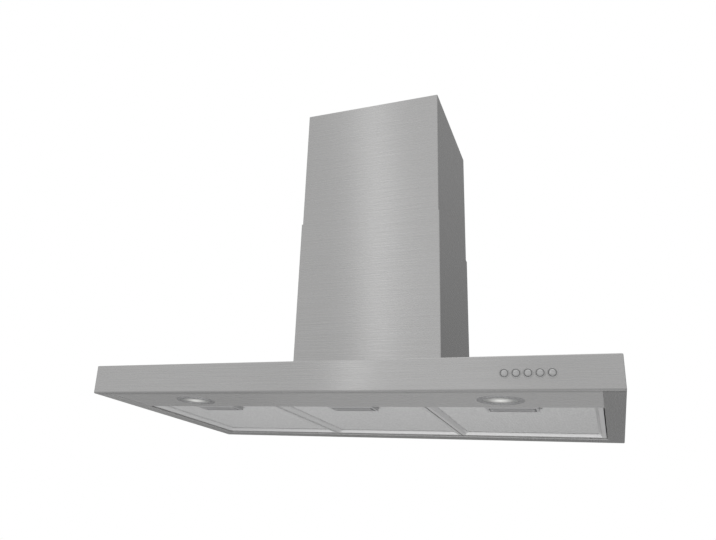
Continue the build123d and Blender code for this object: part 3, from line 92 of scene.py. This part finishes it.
# Brushed steel, and how far its highlights are stretched across the grain
STEEL_DARK = (0.57, 0.567, 0.565)
STEEL_LIGHT = (0.63, 0.627, 0.625)
STEEL_ROUGHNESS = (0.30, 0.24)
STEEL_ANISOTROPY = 0.95
STEEL_BUMP = (0.04, 0.0001)

# Its two grains, fine hair and longer strokes: marks per metre along and across the brushing, and detail
HAIR = (14.0, 2400.0, 3.0)
STROKES = (5.0, 420.0, 2.0)

# What part of the marks is hair, and the roughness of the noise that draws both grains
HAIR_SHARE = 0.6
GRAIN_ROUGH = 0.6

# Metals: darkest and lightest colour, roughness, spangles per metre, and the strength of their bump
METALS = {
    "shaft_steel": ((0.44, 0.44, 0.44), (0.52, 0.52, 0.52), 0.30, 300.0, 0.05),
    "chrome_trim": ((0.54, 0.54, 0.55), (0.58, 0.58, 0.59), 0.25, 400.0, 0.01),
    "light_can": ((0.60, 0.60, 0.60), (0.66, 0.66, 0.66), 0.35, 200.0, 0.05),
    "filter_aluminium": ((0.80, 0.80, 0.80), (0.86, 0.86, 0.86), 0.42, 500.0, 0.02),
    "filter_mesh": ((0.62, 0.62, 0.62), (0.72, 0.72, 0.72), 0.45, 240.0, 0.02),
    "button_metal": ((0.58, 0.58, 0.58), (0.64, 0.64, 0.64), 0.33, 500.0, 0.02),
}

# Detail and roughness of the metals' noise, and its values over which the colour changes. How far a metal's
# roughness swings both ways, and the depth of its bump
METAL_NOISE = (3.0, 0.6)
METAL_COLOUR_SPAN = (0.35, 0.65)
METAL_ROUGHNESS_SWING = 0.04
METAL_BUMP_DEPTH = 0.0003

# Plastics: darkest and lightest colour, and roughness
PLASTICS = {
    "black_plastic": ((0.018, 0.018, 0.02), (0.03, 0.03, 0.032), 0.50),
    "board": ((0.015, 0.09, 0.035), (0.025, 0.13, 0.05), 0.35),
    "motor_paint": ((0.03, 0.03, 0.034), (0.045, 0.045, 0.05), 0.40),
    "capacitor_white": ((0.62, 0.62, 0.6), (0.7, 0.7, 0.68), 0.35),
    "latch_grey": ((0.46, 0.46, 0.465), (0.50, 0.50, 0.505), 0.45),
    "latch_silver": ((0.52, 0.52, 0.525), (0.56, 0.56, 0.565), 0.40),
    "scroll_plastic": ((0.05, 0.05, 0.053), (0.065, 0.065, 0.068), 0.42),
}

# Noises and bump of plastics, and how much smoother and rougher than its own roughness a plastic gets
PLASTIC_SPECK = (2600.0, 2.0, 0.6)
PLASTIC_CLOUD = (30.0, 2.0, 0.5)
PLASTIC_SMOOTHER = 0.05
PLASTIC_ROUGHER = 0.08
PLASTIC_BUMP = (0.15, 0.0001)

# Zinc coat: crystals per metre, colours and roughness
ZINC_CRYSTALS = 110.0
ZINC_DARK = (0.46, 0.48, 0.49)
ZINC_LIGHT = (0.56, 0.58, 0.59)
ZINC_ROUGHNESS = (0.34, 0.46)
ZINC_BUMP = (0.03, 0.0001)

# Buttons' rings: outer radius of the painted shadow of the gap round each button, the width of its soft edge,
# and colours
GAP_SHADOW_RADIUS = 0.0060
GAP_SHADOW_EDGE = 0.0003
GAP_SHADOW_COLOUR = (0.26, 0.26, 0.26)
RING_COLOUR = (0.62, 0.62, 0.62)
RING_TURNING = (500.0, 3.0, 0.6)
RING_ROUGHNESS = (0.37, 0.29)

# Lamps: frosted lens with the bulb's glow, which fades between two shares of the lens's radius, and the bulb
LENS_SPECK = (900.0, 2.0, 0.5)
LENS_DARK = (0.50, 0.51, 0.50)
LENS_LIGHT = (0.58, 0.58, 0.57)
LENS_ROUGHNESS = (0.35, 0.5)
LENS_TRANSMISSION = 0.3
LENS_BUMP = (0.1, 0.0001)
GLOW_STRENGTH = 0.38
GLOW_COLOUR = (1.0, 0.99, 0.96, 1.0)
GLOW_REACH = (0.1, 0.7)
BULB_COLOUR = (0.96, 0.96, 0.94, 1.0)
BULB_TRANSMISSION = 0.9
BULB_STREAKS = (120.0, 2.0, 0.5)
BULB_ROUGHNESS = (0.02, 0.10)

# Nodes that look different from the rest of their material slot
OWN_FINISHES = {
    "button_rings": "button_surround",
    "scroll_front": "scroll_plastic",
    "scroll_rear": "scroll_plastic",
    "outlet_neck": "scroll_plastic",
}
OWN_FINISHES.update({f"latch_housing_{side}": "latch_silver" for side in SIDES})

# Filter's expanded sheets, below and above the backing: diamond cell along x and along y, strand width, how
# far a strand leans, and the sheet's thickness. Gap between the layers, and room left round the latch housing
ExpandedSheet = namedtuple("ExpandedSheet", "cell strand lean thickness")
FACE_SHEET = ExpandedSheet((0.010583, 0.005), 0.0013, 0.0004, 0.0003)
REAR_SHEET = ExpandedSheet((0.015875, 0.008), 0.0020, 0.00015, 0.0002)
LAYER_GAP = 0.0001
LATCH_ROOM = 0.0003

# Filter's backing: its depth, its steps along x and y, and the height of its ripples
BACKING_DEPTH = 0.0005
BACKING_STEPS = (52, 90)
RIPPLE_HEIGHT = 0.0004

# Ripples along x and y: radians per metre, radians that the crests sway, and the sway's radians per metre
RIPPLES_X = (900.0, 2.0, 310.0)
RIPPLES_Y = (1300.0, 1.0, 270.0)

# Sloped border of the filter's mesh: its distance inside the mesh's edge, and its thickness
WINDOW_INSET = 0.0098
BORDER_SHEET = 0.0005

# Latch springs: steps along the leaf, share of it that is flat in the middle, and strip thickness
LEAF_STEPS = 32
LEAF_FLAT = 0.28
LEAF_STRIP = 0.0005

# Floor
FLOOR_Z = -1.6
FLOOR_HALF = 6.0
FLOOR_CLOUDS = (3.0, 2.0, 0.5)
FLOOR_DARK = (0.80, 0.80, 0.80)
FLOOR_LIGHT = (0.84, 0.84, 0.84)
FLOOR_ROUGHNESS = 0.7

# Room that lights the hood and shows in its reflections, by the x, y and z of a direction. The front and the
# rear wall change in brightness over a range of heights, the rear wall is darker at its left, one wall turns
# into the other along y, and the sky adds to both
BACKDROP = (1.0, 1.0, 1.0, 1.0)
FRONT_HEIGHTS = (0.1, 0.6)
FRONT_BRIGHTNESS = (0.64, 0.56)
REAR_HEIGHTS = (0.2, 0.5)
REAR_BRIGHTNESS = (0.22, 0.34)
REAR_LEFT = (-0.45, -0.2)
REAR_LEFT_SHARE = (0.5, 1.0)
ROOM_TURN = (-0.5, 0.7)
SKY_HEIGHTS = (0.6, 0.95)
SKY_BRIGHTNESS = (0.0, 0.4)

# Soft lights: place, the point that each one faces, width and height, and radiance
SOFTBOXES = {
    "key": ((-0.86, -3.2, 1.5), (0.012, -0.31, 0.3), (0.16, 2.4), 0.72),
    "front_fill": ((-0.38, -3.4, 1.2), (0.1, -0.4, 0.2), (0.7, 2.6), 0.1),
    "left_fill": ((-2.4, -3.4, 1.2), (-0.4, -0.5, 0.1), (1.6, 2.6), 0.05),
    "behind": ((-1.0, 2.6, 1.2), (-0.1, 0.0, 0.2), (1.6, 1.8), 0.5),
    "under": ((0.0, -0.2, -1.4), (0.0, -0.2, 0.0), (1.6, 1.2), 0.4),
}

# Sockets of the mix node, which has some for every kind of value: share, two numbers, two colours, colour out
MIX_SHARE = 0
MIX_NUMBERS = (2, 3)
MIX_COLOURS = (6, 7)
MIX_COLOUR_OUT = 2

# Sockets of the map range node: both ends of the span that comes in, and of the one that goes out
RANGE_ENDS = slice(1, 5)


def link(obj):
    bpy.context.scene.collection.objects.link(obj)
    return obj


def mesh_piece(name, points, faces, material):
    mesh = bpy.data.meshes.new(name)
    mesh.from_pydata(points, [], faces)
    mesh.materials.append(material)
    return link(bpy.data.objects.new(name, mesh))


def make_camera():
    """Camera at the photograph's place, looking up at the hood."""
    yaw, pitch, roll = CAMERA_YAW, CAMERA_PITCH, CAMERA_ROLL
    forward = Vector((math.sin(yaw) * math.cos(pitch), math.cos(yaw) * math.cos(pitch), math.sin(pitch)))
    right = Vector((math.cos(yaw), -math.sin(yaw), 0))
    up = right.cross(forward)
    rolled_right = math.cos(roll) * right + math.sin(roll) * up
    rolled_up = -math.sin(roll) * right + math.cos(roll) * up
    turn = Matrix((rolled_right, rolled_up, -forward)).transposed().to_4x4()
    data = bpy.data.cameras.new("camera")
    data.sensor_width = SENSOR_MM
    data.lens = FOCAL_PX / IMAGE_WIDTH_PX * SENSOR_MM
    data.shift_x = SHIFT_X_PX / IMAGE_WIDTH_PX
    data.shift_y = SHIFT_Y_PX / IMAGE_WIDTH_PX
    data.clip_start = CLIP_START
    camera = link(bpy.data.objects.new("camera", data))
    camera.matrix_world = Matrix.Translation(CAMERA_PLACE) @ turn
    bpy.context.scene.camera = camera


class Nodes:
    """Adds nodes to one node tree and joins them."""

    def __init__(self, tree):
        self.nodes = tree.nodes
        self.links = tree.links

    def add(self, kind, **settings):
        node = self.nodes.new(kind)
        for key, value in settings.items():
            setattr(node, key, value)
        return node

    def join(self, source, target):
        self.links.new(source, target)

    def axes(self, vector):
        """Outputs of a vector's x, y and z."""
        node = self.add("ShaderNodeSeparateXYZ")
        self.join(vector, node.inputs[0])
        return [node.outputs[axis] for axis in "XYZ"]

    def vector(self, *parts):
        """Vector made of the outputs for its x, y and z; one that isn't given is zero."""
        node = self.add("ShaderNodeCombineXYZ")
        for source, socket in zip(parts, node.inputs):
            self.join(source, socket)
        return node.outputs[0]

    def math(self, operation, first, second=None):
        """Math node on sockets or plain numbers; returns its output."""
        node = self.add("ShaderNodeMath", operation=operation)
        for socket, value in zip(node.inputs, (first, second)):
            if value is None:
                continue
            if isinstance(value, (int, float)):
                socket.default_value = value
            else:
                self.join(value, socket)
        return node.outputs[0]

    def spread(self, value, span, to_span=(0.0, 1.0)):
        """Takes a span of values to another one, with its ends clamped; returns the output."""
        node = self.add("ShaderNodeMapRange")
        for socket, number in zip(node.inputs[RANGE_ENDS], (*span, *to_span)):
            socket.default_value = number
        self.join(value, node.inputs[0])
        return node.outputs[0]

    def blend(self, share, first, second):
        """Number between two sockets' numbers; returns its output."""
        node = self.add("ShaderNodeMix", data_type="FLOAT")
        for socket, source in zip((MIX_SHARE, *MIX_NUMBERS), (share, first, second)):
            self.join(source, node.inputs[socket])
        return node.outputs[0]


class Shader(Nodes):
    """Builds one node material step by step."""

    def __init__(self, name):
        self.material = bpy.data.materials.new(name)
        self.material.use_nodes = True
        super().__init__(self.material.node_tree)
        self.surface = self.nodes["Principled BSDF"]

    def set(self, name, value):
        """Gives a socket of the surface the same value all over."""
        self.surface.inputs[name].default_value = value

    def vary(self, name, source):
        """Lets a socket of the surface follow an output."""
        self.join(source, self.surface.inputs[name])

    def place(self):
        return self.add("ShaderNodeTexCoord").outputs["Object"]

    def tint(self, share, dark, light):
        """Colour between two linear colours; returns its output."""
        node = self.add("ShaderNodeMix", data_type="RGBA")
        for socket, colour in zip(MIX_COLOURS, (dark, light)):
            node.inputs[socket].default_value = (*colour, 1.0)
        self.join(share, node.inputs[MIX_SHARE])
        return node.outputs[MIX_COLOUR_OUT]

    def shade(self, share, colour, factor):
        """Colour times a factor for each channel, where the share is 1; returns its output."""
        node = self.add("ShaderNodeMix", data_type="RGBA", blend_type="MULTIPLY")
        node.inputs[MIX_COLOURS[1]].default_value = (*factor, 1.0)
        self.join(share, node.inputs[MIX_SHARE])
        self.join(colour, node.inputs[MIX_COLOURS[0]])
        return node.outputs[MIX_COLOUR_OUT]

    def noise(self, vector, scale, detail, rough):
        node = self.add("ShaderNodeTexNoise")
        for name, number in (("Scale", scale), ("Detail", detail), ("Roughness", rough)):
            node.inputs[name].default_value = number
        self.join(vector, node.inputs["Vector"])
        return node.outputs["Fac"]

    def bump(self, height, strength, distance):
        node = self.add("ShaderNodeBump")
        node.inputs["Strength"].default_value = strength
        node.inputs["Distance"].default_value = distance
        self.join(height, node.inputs["Height"])
        self.vary("Normal", node.outputs["Normal"])


def sheet_directions(shader):
    """Grain coordinates of a sheet brushed along its level run, and the direction across the grain."""
    x, y, z = shader.axes(shader.place())
    facing_x, _, facing_z = shader.axes(shader.add("ShaderNodeNewGeometry").outputs["Normal"])
    level = shader.math("GREATER_THAN", shader.math("ABSOLUTE", facing_z), LEVEL_FACING)
    end_wall = shader.math("GREATER_THAN", shader.math("ABSOLUTE", facing_x), END_FACING)
    end_fold = shader.math("GREATER_THAN", shader.math("ABSOLUTE", x), END_FOLD_X)
    rear_fold = shader.math("GREATER_THAN", y, REAR_FOLD_Y)
    folds = shader.math("MAXIMUM", end_fold, rear_fold)
    low_fold = shader.math("MULTIPLY", folds, shader.math("LESS_THAN", z, FOLD_TOP_Z))
    sideways = shader.math("MAXIMUM", end_wall, low_fold)
    run = shader.blend(sideways, x, y)
    step = shader.blend(level, z, shader.blend(sideways, y, x))
    across = shader.vector(
        shader.math("MULTIPLY", level, sideways),
        shader.math("MULTIPLY", level, shader.math("SUBTRACT", 1.0, sideways)),
        shader.math("SUBTRACT", 1.0, level),
    )
    return run, step, across


def grain(shader, run, step, along, across, detail):
    """Noise drawn out along the grain: marks per metre along it and across it."""
    place = shader.vector(shader.math("MULTIPLY", run, along), shader.math("MULTIPLY", step, across))
    return shader.noise(place, 1.0, detail, GRAIN_ROUGH)


def seam_shadow_share(shader):
    """From 0 to 1, how near a point is to the seam where the light strip meets the canopy's front fold; it
    sets the painted shadow of that gap.
    """
    _, y, z = shader.axes(shader.place())
    seam_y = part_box("light_strip")[0].y
    away = shader.math("ABSOLUTE", shader.math("SUBTRACT", y, seam_y))
    near = shader.spread(away, (0.0, SEAM_SHADOW_REACH), (1.0, 0.0))
    return shader.math("MULTIPLY", near, shader.math("LESS_THAN", z, FOLD_TOP_Z))


def nearest_middle(shader, nodes, axes):
    """Distance from the middle of the nearest of the nodes, measured along the two named axes."""
    place = dict(zip("xyz", shader.axes(shader.place())))
    distances = []
    for node in nodes:
        low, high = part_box(node)
        middle = (low + high) / 2
        offsets = [shader.math("SUBTRACT", place[axis], getattr(middle, axis)) for axis in axes]
        squares = [shader.math("POWER", offset, 2.0) for offset in offsets]
        distances.append(shader.math("SQRT", shader.math("ADD", *squares)))
    return functools.reduce(functools.partial(shader.math, "MINIMUM"), distances)


def brushed_steel(name):
    """Sheet steel brushed along its level run, its highlights drawn out across the grain, with a painted
    shadow along the light strip's front seam.
    """
    shader = Shader(name)
    run, step, across = sheet_directions(shader)
    hair = grain(shader, run, step, *HAIR)
    strokes = grain(shader, run, step, *STROKES)
    hair_part = shader.math("MULTIPLY", hair, HAIR_SHARE)
    marks = shader.math("ADD", hair_part, shader.math("MULTIPLY", strokes, 1 - HAIR_SHARE))
    colour = shader.tint(shader.spread(marks, NOISE_SPAN), STEEL_DARK, STEEL_LIGHT)
    # Painted shadow of the gap where the light strip meets the canopy's front fold
    shader.vary("Base Color", shader.shade(seam_shadow_share(shader), colour, SEAM_PAINTED_SHADE))
    shader.vary("Roughness", shader.spread(marks, NOISE_SPAN, STEEL_ROUGHNESS))
    shader.vary("Tangent", across)
    shader.set("Metallic", 1.0)
    shader.set("Anisotropic", STEEL_ANISOTROPY)
    shader.bump(hair, *STEEL_BUMP)
    return shader.material


def plain_metal(name, dark, light, roughness, spangles, bump):
    """Metal with a faint spangle or machining texture."""
    shader = Shader(name)
    cloud = shader.noise(shader.place(), spangles, *METAL_NOISE)
    rough_span = (roughness + METAL_ROUGHNESS_SWING, roughness - METAL_ROUGHNESS_SWING)
    shader.vary("Base Color", shader.tint(shader.spread(cloud, METAL_COLOUR_SPAN), dark, light))
    shader.vary("Roughness", shader.spread(cloud, NOISE_SPAN, rough_span))
    shader.set("Metallic", 1.0)
    shader.bump(cloud, bump, METAL_BUMP_DEPTH)
    return shader.material


def button_surround(name):
    """Metal of the buttons' rings, with a painted shadow of the gap along each ring's inner edge."""
    shader = Shader(name)
    # Painted shadow of the gap round each button: dark inside the radius, metal outside
    outside = shader.spread(nearest_middle(shader, BUTTONS, "xz"), (GAP_SHADOW_RADIUS, GAP_SHADOW_RADIUS + GAP_SHADOW_EDGE))
    turned = shader.noise(shader.place(), *RING_TURNING)
    shader.vary("Base Color", shader.tint(outside, GAP_SHADOW_COLOUR, RING_COLOUR))
    shader.vary("Roughness", shader.spread(turned, NOISE_SPAN, RING_ROUGHNESS))
    shader.set("Metallic", 1.0)
    return shader.material


def zinc_coat(name):
    """Zinc-coated sheet with crystals of slightly different grey."""
    shader = Shader(name)
    crystals = shader.add("ShaderNodeTexVoronoi")
    crystals.inputs["Scale"].default_value = ZINC_CRYSTALS
    shader.join(shader.place(), crystals.inputs["Vector"])
    channels = shader.add("ShaderNodeSeparateColor")
    shader.join(crystals.outputs["Color"], channels.inputs[0])
    grey = channels.outputs[0]
    shader.vary("Base Color", shader.tint(grey, ZINC_DARK, ZINC_LIGHT))
    shader.vary("Roughness", shader.spread(grey, (0.0, 1.0), ZINC_ROUGHNESS))
    shader.set("Metallic", 1.0)
    shader.bump(grey, *ZINC_BUMP)
    return shader.material


def moulded_plastic(name, dark, light, roughness):
    """Plastic with a fine spark-eroded texture."""
    shader = Shader(name)
    speck = shader.noise(shader.place(), *PLASTIC_SPECK)
    cloud = shader.noise(shader.place(), *PLASTIC_CLOUD)
    rough_span = (roughness - PLASTIC_SMOOTHER, roughness + PLASTIC_ROUGHER)
    shader.vary("Base Color", shader.tint(cloud, dark, light))
    shader.vary("Roughness", shader.spread(speck, NOISE_SPAN, rough_span))
    shader.bump(speck, *PLASTIC_BUMP)
    return shader.material


def frosted_lens(name):
    """Frosted glass disc, brighter over the bulb behind its middle."""
    shader = Shader(name)
    speck = shader.noise(shader.place(), *LENS_SPECK)
    low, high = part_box(LENSES[0])
    radius = (high.x - low.x) / 2
    glow_span = [share * radius for share in GLOW_REACH]
    shader.vary("Base Color", shader.tint(speck, LENS_DARK, LENS_LIGHT))
    shader.vary("Roughness", shader.spread(speck, NOISE_SPAN, LENS_ROUGHNESS))
    shader.set("Transmission Weight", LENS_TRANSMISSION)
    shader.set("Emission Color", GLOW_COLOUR)
    glow = shader.spread(nearest_middle(shader, LENSES, "xy"), glow_span, (GLOW_STRENGTH, 0.0))
    shader.vary("Emission Strength", glow)
    shader.bump(speck, *LENS_BUMP)
    return shader.material


def clear_bulb(name):
    """Clear glass with faint streaks."""
    shader = Shader(name)
    streaks = shader.noise(shader.place(), *BULB_STREAKS)
    shader.set("Base Color", BULB_COLOUR)
    shader.set("Transmission Weight", BULB_TRANSMISSION)
    shader.vary("Roughness", shader.spread(streaks, NOISE_SPAN, BULB_ROUGHNESS))
    return shader.material


def make_materials():
    """Every finish, by its name."""
    special = {
        "brushed_steel": brushed_steel,
        "zinc_steel": zinc_coat,
        "button_surround": button_surround,
        "lens_glass": frosted_lens,
        "bulb_glass": clear_bulb,
    }
    materials = {name: make(name) for name, make in special.items()}
    materials.update({name: plain_metal(name, *finish) for name, finish in METALS.items()})
    materials.update({name: moulded_plastic(name, *finish) for name, finish in PLASTICS.items()})
    return materials


def dress_nodes(materials):
    """Gives each CAD node its own finish, or else the finish of its material slot."""
    for part in frame["record"]["subparts"]:
        finish = OWN_FINISHES.get(part["node"], part["material_slot"])
        worn = frame["nodes"][part["node"]].data.materials
        worn.clear()
        worn.append(materials[finish])


def add_pair(points, x, y, low_z, high_z):
    """Adds a lower and an upper point at one place; returns the lower one's index."""
    points += [(x, y, low_z), (x, y, high_z)]
    return len(points) - 2


def expanded_sheet(x_range, y_range, z, sheet, left_out):
    """Points and faces of an expanded metal sheet: diamonds on a staggered lattice.

    Each hole's front corner lies the lean below z and its rear corner as far above, so that every strand
    leans forward. As many half diamonds go along x as come nearest to its range, and along y as fit in it.
    left_out(low_x, high_x, low_y) says whether a diamond is dropped.
    """
    half_x, half_y = sheet.cell[0] / 2, sheet.cell[1] / 2
    inward = 1 - sheet.strand / 2 * math.hypot(half_x, half_y) / (half_x * half_y)
    hole_x, hole_y = inward * half_x, inward * half_y
    columns = round((x_range[1] - x_range[0]) / half_x)
    rows = int((y_range[1] - y_range[0]) / half_y)
    start_x = (x_range[0] + x_range[1] - columns * half_x) / 2
    start_y = (y_range[0] + y_range[1] - rows * half_y) / 2
    points, faces = [], []

    def pair(x, y, height):
        return add_pair(points, x, y, height - sheet.thickness / 2, height + sheet.thickness / 2)

    @functools.cache
    def corner(column, row):
        return pair(start_x + column * half_x, start_y + row * half_y, z)

    for row in range(1, rows):
        for column in range(1 + row % 2, columns, 2):
            x, y = start_x + column * half_x, start_y + row * half_y
            if left_out(x - half_x, x + half_x, y - half_y):
                continue
            outer = [
                corner(column - 1, row),
                corner(column, row - 1),
                corner(column + 1, row),
                corner(column, row + 1),
            ]
            inner = [
                pair(x - hole_x, y, z),
                pair(x, y - hole_y, z - sheet.lean),
                pair(x + hole_x, y, z),
                pair(x, y + hole_y, z + sheet.lean),
            ]
            for i in range(4):
                j = (i + 1) % 4
                a, b, c, d = outer[i], outer[j], inner[j], inner[i]
                faces += [(d, c, b, a), (a + 1, b + 1, c + 1, d + 1), (c, d, d + 1, c + 1)]
    return points, faces


def swaying_wave(along, beside, turns, sway, sway_turns):
    """Height from -1 to 1 of a wave along one direction, whose crests sway along the other."""
    return math.sin(along * turns + sway * math.sin(beside * sway_turns))


def backing_sheet(x_range, y_range, z_range, left_out):
    """Points and faces of the filter's dense backing: a rippled sheet closed above by a flat one."""
    columns, rows = BACKING_STEPS
    step_x = (x_range[1] - x_range[0]) / columns
    step_y = (y_range[1] - y_range[0]) / rows
    points, faces = [], []

    def place(column, row):
        return x_range[0] + column * step_x, y_range[0] + row * step_y

    @functools.cache
    def corner(column, row):
        x, y = place(column, row)
        wave = swaying_wave(x, y, *RIPPLES_X) * swaying_wave(y, x, *RIPPLES_Y)
        return add_pair(points, x, y, z_range[0] + RIPPLE_HEIGHT * (1 + wave) / 2, z_range[1])

    def is_kept(column, row):
        low_x, low_y = place(column, row)
        high_x, _ = place(column + 1, row)
        return not left_out(low_x, high_x, low_y)

    kept = {(column, row) for column in range(columns) for row in range(rows) if is_kept(column, row)}
    for column, row in sorted(kept):
        ring = [
            corner(column, row),
            corner(column + 1, row),
            corner(column + 1, row + 1),
            corner(column, row + 1),
        ]
        beside = [(column, row - 1), (column + 1, row), (column, row + 1), (column - 1, row)]
        faces += [tuple(reversed(ring)), tuple(i + 1 for i in ring)]
        for i in range(4):
            if beside[i] not in kept:
                a, b = ring[i], ring[(i + 1) % 4]
                faces.append((a, b, b + 1, a + 1))
    return points, faces


def strip_faces(points):
    """Faces of a strip whose points go four by four round its section, with its two ends closed."""
    faces = []
    for first in range(0, len(points) - 4, 4):
        for i in range(4):
            j = (i + 1) % 4
            faces.append((first + i, first + j, first + 4 + j, first + 4 + i))
    faces.append((3, 2, 1, 0))
    faces.append(tuple(range(len(points) - 4, len(points))))
    return faces


def sloped_border(x_range, y_range, z_range, break_x):
    """Points and faces of the mesh's sloped border: a strip rising inwards at 45 degrees round the window.

    The ranges are the window at the strip's lower edge. The front side is broken between the break_x values.
    """
    rise = z_range[1] - z_range[0]
    middle_x = (x_range[0] + x_range[1]) / 2
    route = [(break_x[1], y_range[0]), (x_range[1], y_range[0]), (x_range[1], y_range[1])]
    route += [(x_range[0], y_range[1]), (x_range[0], y_range[0]), (break_x[0], y_range[0])]
    points = []
    for x, y in route:
        inward_x = 0.0 if x in break_x else math.copysign(1.0, middle_x - x)
        inward_y = 1.0 if y == y_range[0] else -1.0
        for inset, height in ((0.0, 0.0), (rise, rise), (rise, rise + BORDER_SHEET), (0.0, BORDER_SHEET)):
            points.append((x + inset * inward_x, y + inset * inward_y, z_range[0] + height))
    return points, strip_faces(points)


def half_height(sheet):
    """Half of the height that an expanded sheet takes up, with the lean of its strands."""
    return sheet.lean + sheet.thickness / 2


def make_filter_mesh(side, materials):
    """Fine expanded aluminium of one filter: sloped border, face sheet, dense backing and rear sheet."""
    low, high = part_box(f"filter_mesh_{side}")
    latch_low, latch_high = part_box(f"latch_housing_{side}")
    x_range, y_range = (low.x, high.x), (low.y, high.y)
    latch_x = (latch_low.x - LATCH_ROOM, latch_high.x + LATCH_ROOM)

    def at_latch(low_x, high_x, low_y):
        return low_x < latch_x[1] and high_x > latch_x[0] and low_y < latch_high.y + LATCH_ROOM

    rear_z = high.z - half_height(REAR_SHEET)
    backing_top = rear_z - half_height(REAR_SHEET) - LAYER_GAP
    backing_low = backing_top - BACKING_DEPTH
    face_z = backing_low - LAYER_GAP - half_height(FACE_SHEET)
    border_top = face_z - half_height(FACE_SHEET) - BORDER_SHEET
    window_x = (low.x + WINDOW_INSET, high.x - WINDOW_INSET)
    window_y = (low.y + WINDOW_INSET, high.y - WINDOW_INSET)
    shapes = {
        "border": sloped_border(window_x, window_y, (low.z, border_top), latch_x),
        "face": expanded_sheet(x_range, y_range, face_z, FACE_SHEET, at_latch),
        "backing": backing_sheet(x_range, y_range, (backing_low, backing_top), at_latch),
        "rear": expanded_sheet(x_range, y_range, rear_z, REAR_SHEET, at_latch),
    }
    for layer, shape in shapes.items():
        finish = materials["filter_aluminium" if layer == "border" else "filter_mesh"]
        piece = mesh_piece(f"filter_{side}_mesh_{layer}", *shape, finish)
        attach(piece, f"filter_{side}")
        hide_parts(f"filter_mesh_{side}")


def bowed_leaf(low, high):
    """Points and faces of a leaf spring between two corners: a strip on edge, bowed back at both ends."""
    points = []
    for step in range(LEAF_STEPS + 1):
        along = step / LEAF_STEPS
        away = abs(2 * along - 1)
        share = max(0.0, (away - LEAF_FLAT) / (1 - LEAF_FLAT))
        bow = share * share * (3 - 2 * share)
        x = low.x + along * (high.x - low.x)
        y = low.y + bow * (high.y - low.y - LEAF_STRIP)
        points += [(x, y, low.z), (x, y + LEAF_STRIP, low.z), (x, y + LEAF_STRIP, high.z), (x, y, high.z)]
    return points, strip_faces(points)


def make_latch_spring(side, materials):
    """Leaf spring of one latch, bowed back at both ends, riding on its filter."""
    low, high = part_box(f"latch_spring_{side}")
    leaf = mesh_piece(f"latch_{side}_leaf", *bowed_leaf(low, high), materials["shaft_steel"])
    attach(leaf, f"filter_{side}")
    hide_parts(f"latch_spring_{side}")
    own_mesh(leaf)


def make_floor():
    """Plain pale floor far below the hood."""
    shader = Shader("floor_paint")
    clouds = shader.noise(shader.place(), *FLOOR_CLOUDS)
    shader.vary("Base Color", shader.tint(clouds, FLOOR_DARK, FLOOR_LIGHT))
    shader.set("Roughness", FLOOR_ROUGHNESS)
    corners = [(x * FLOOR_HALF, y * FLOOR_HALF, FLOOR_Z) for x, y in ((-1, -1), (1, -1), (1, 1), (-1, 1))]
    floor = mesh_piece("floor", corners, [(0, 1, 2, 3)], shader.material)


def make_world():
    """White backdrop for the camera, and a soft room for the light, dimmest low down behind the hood."""
    world = bpy.data.worlds.new("world")
    bpy.context.scene.world = world
    world.use_nodes = True
    world.node_tree.nodes.clear()
    tree = Nodes(world.node_tree)
    x, y, z = tree.axes(tree.add("ShaderNodeTexCoord").outputs["Generated"])
    front = tree.spread(z, FRONT_HEIGHTS, FRONT_BRIGHTNESS)
    left_share = tree.spread(x, REAR_LEFT, REAR_LEFT_SHARE)
    rear = tree.math("MULTIPLY", tree.spread(z, REAR_HEIGHTS, REAR_BRIGHTNESS), left_share)
    walls = tree.blend(tree.spread(y, ROOM_TURN), front, rear)
    brightness = tree.math("ADD", walls, tree.spread(z, SKY_HEIGHTS, SKY_BRIGHTNESS))
    room = tree.add("ShaderNodeBackground")
    tree.join(brightness, room.inputs["Color"])
    backdrop = tree.add("ShaderNodeBackground")
    backdrop.inputs["Color"].default_value = BACKDROP
    chosen = tree.add("ShaderNodeMixShader")
    camera_ray = tree.add("ShaderNodeLightPath").outputs["Is Camera Ray"]
    for source, socket in zip((camera_ray, room.outputs[0], backdrop.outputs[0]), chosen.inputs):
        tree.join(source, socket)
    tree.join(chosen.outputs[0], tree.add("ShaderNodeOutputWorld").inputs["Surface"])


def make_softbox(name, place, target, size, radiance):
    """Rectangular soft light of the given brightness, seen in reflections and not by the camera."""
    data = bpy.data.lights.new(name, "AREA")
    data.shape = "RECTANGLE"
    data.size, data.size_y = size
    data.energy = radiance * math.pi * size[0] * size[1]
    light = link(bpy.data.objects.new(name, data))
    light.location = place
    light.visible_camera = False
    aim = Vector(target) - Vector(place)
    light.rotation_mode = "QUATERNION"
    light.rotation_quaternion = aim.to_track_quat("-Z", "Y")


bpy.context.scene.view_settings.view_transform = "Standard"
make_camera()
make_world()
for name, softbox in SOFTBOXES.items():
    make_softbox(name, *softbox)
make_floor()
materials = make_materials()
dress_nodes(materials)
for side in SIDES:
    make_filter_mesh(side, materials)
    make_latch_spring(side, materials)
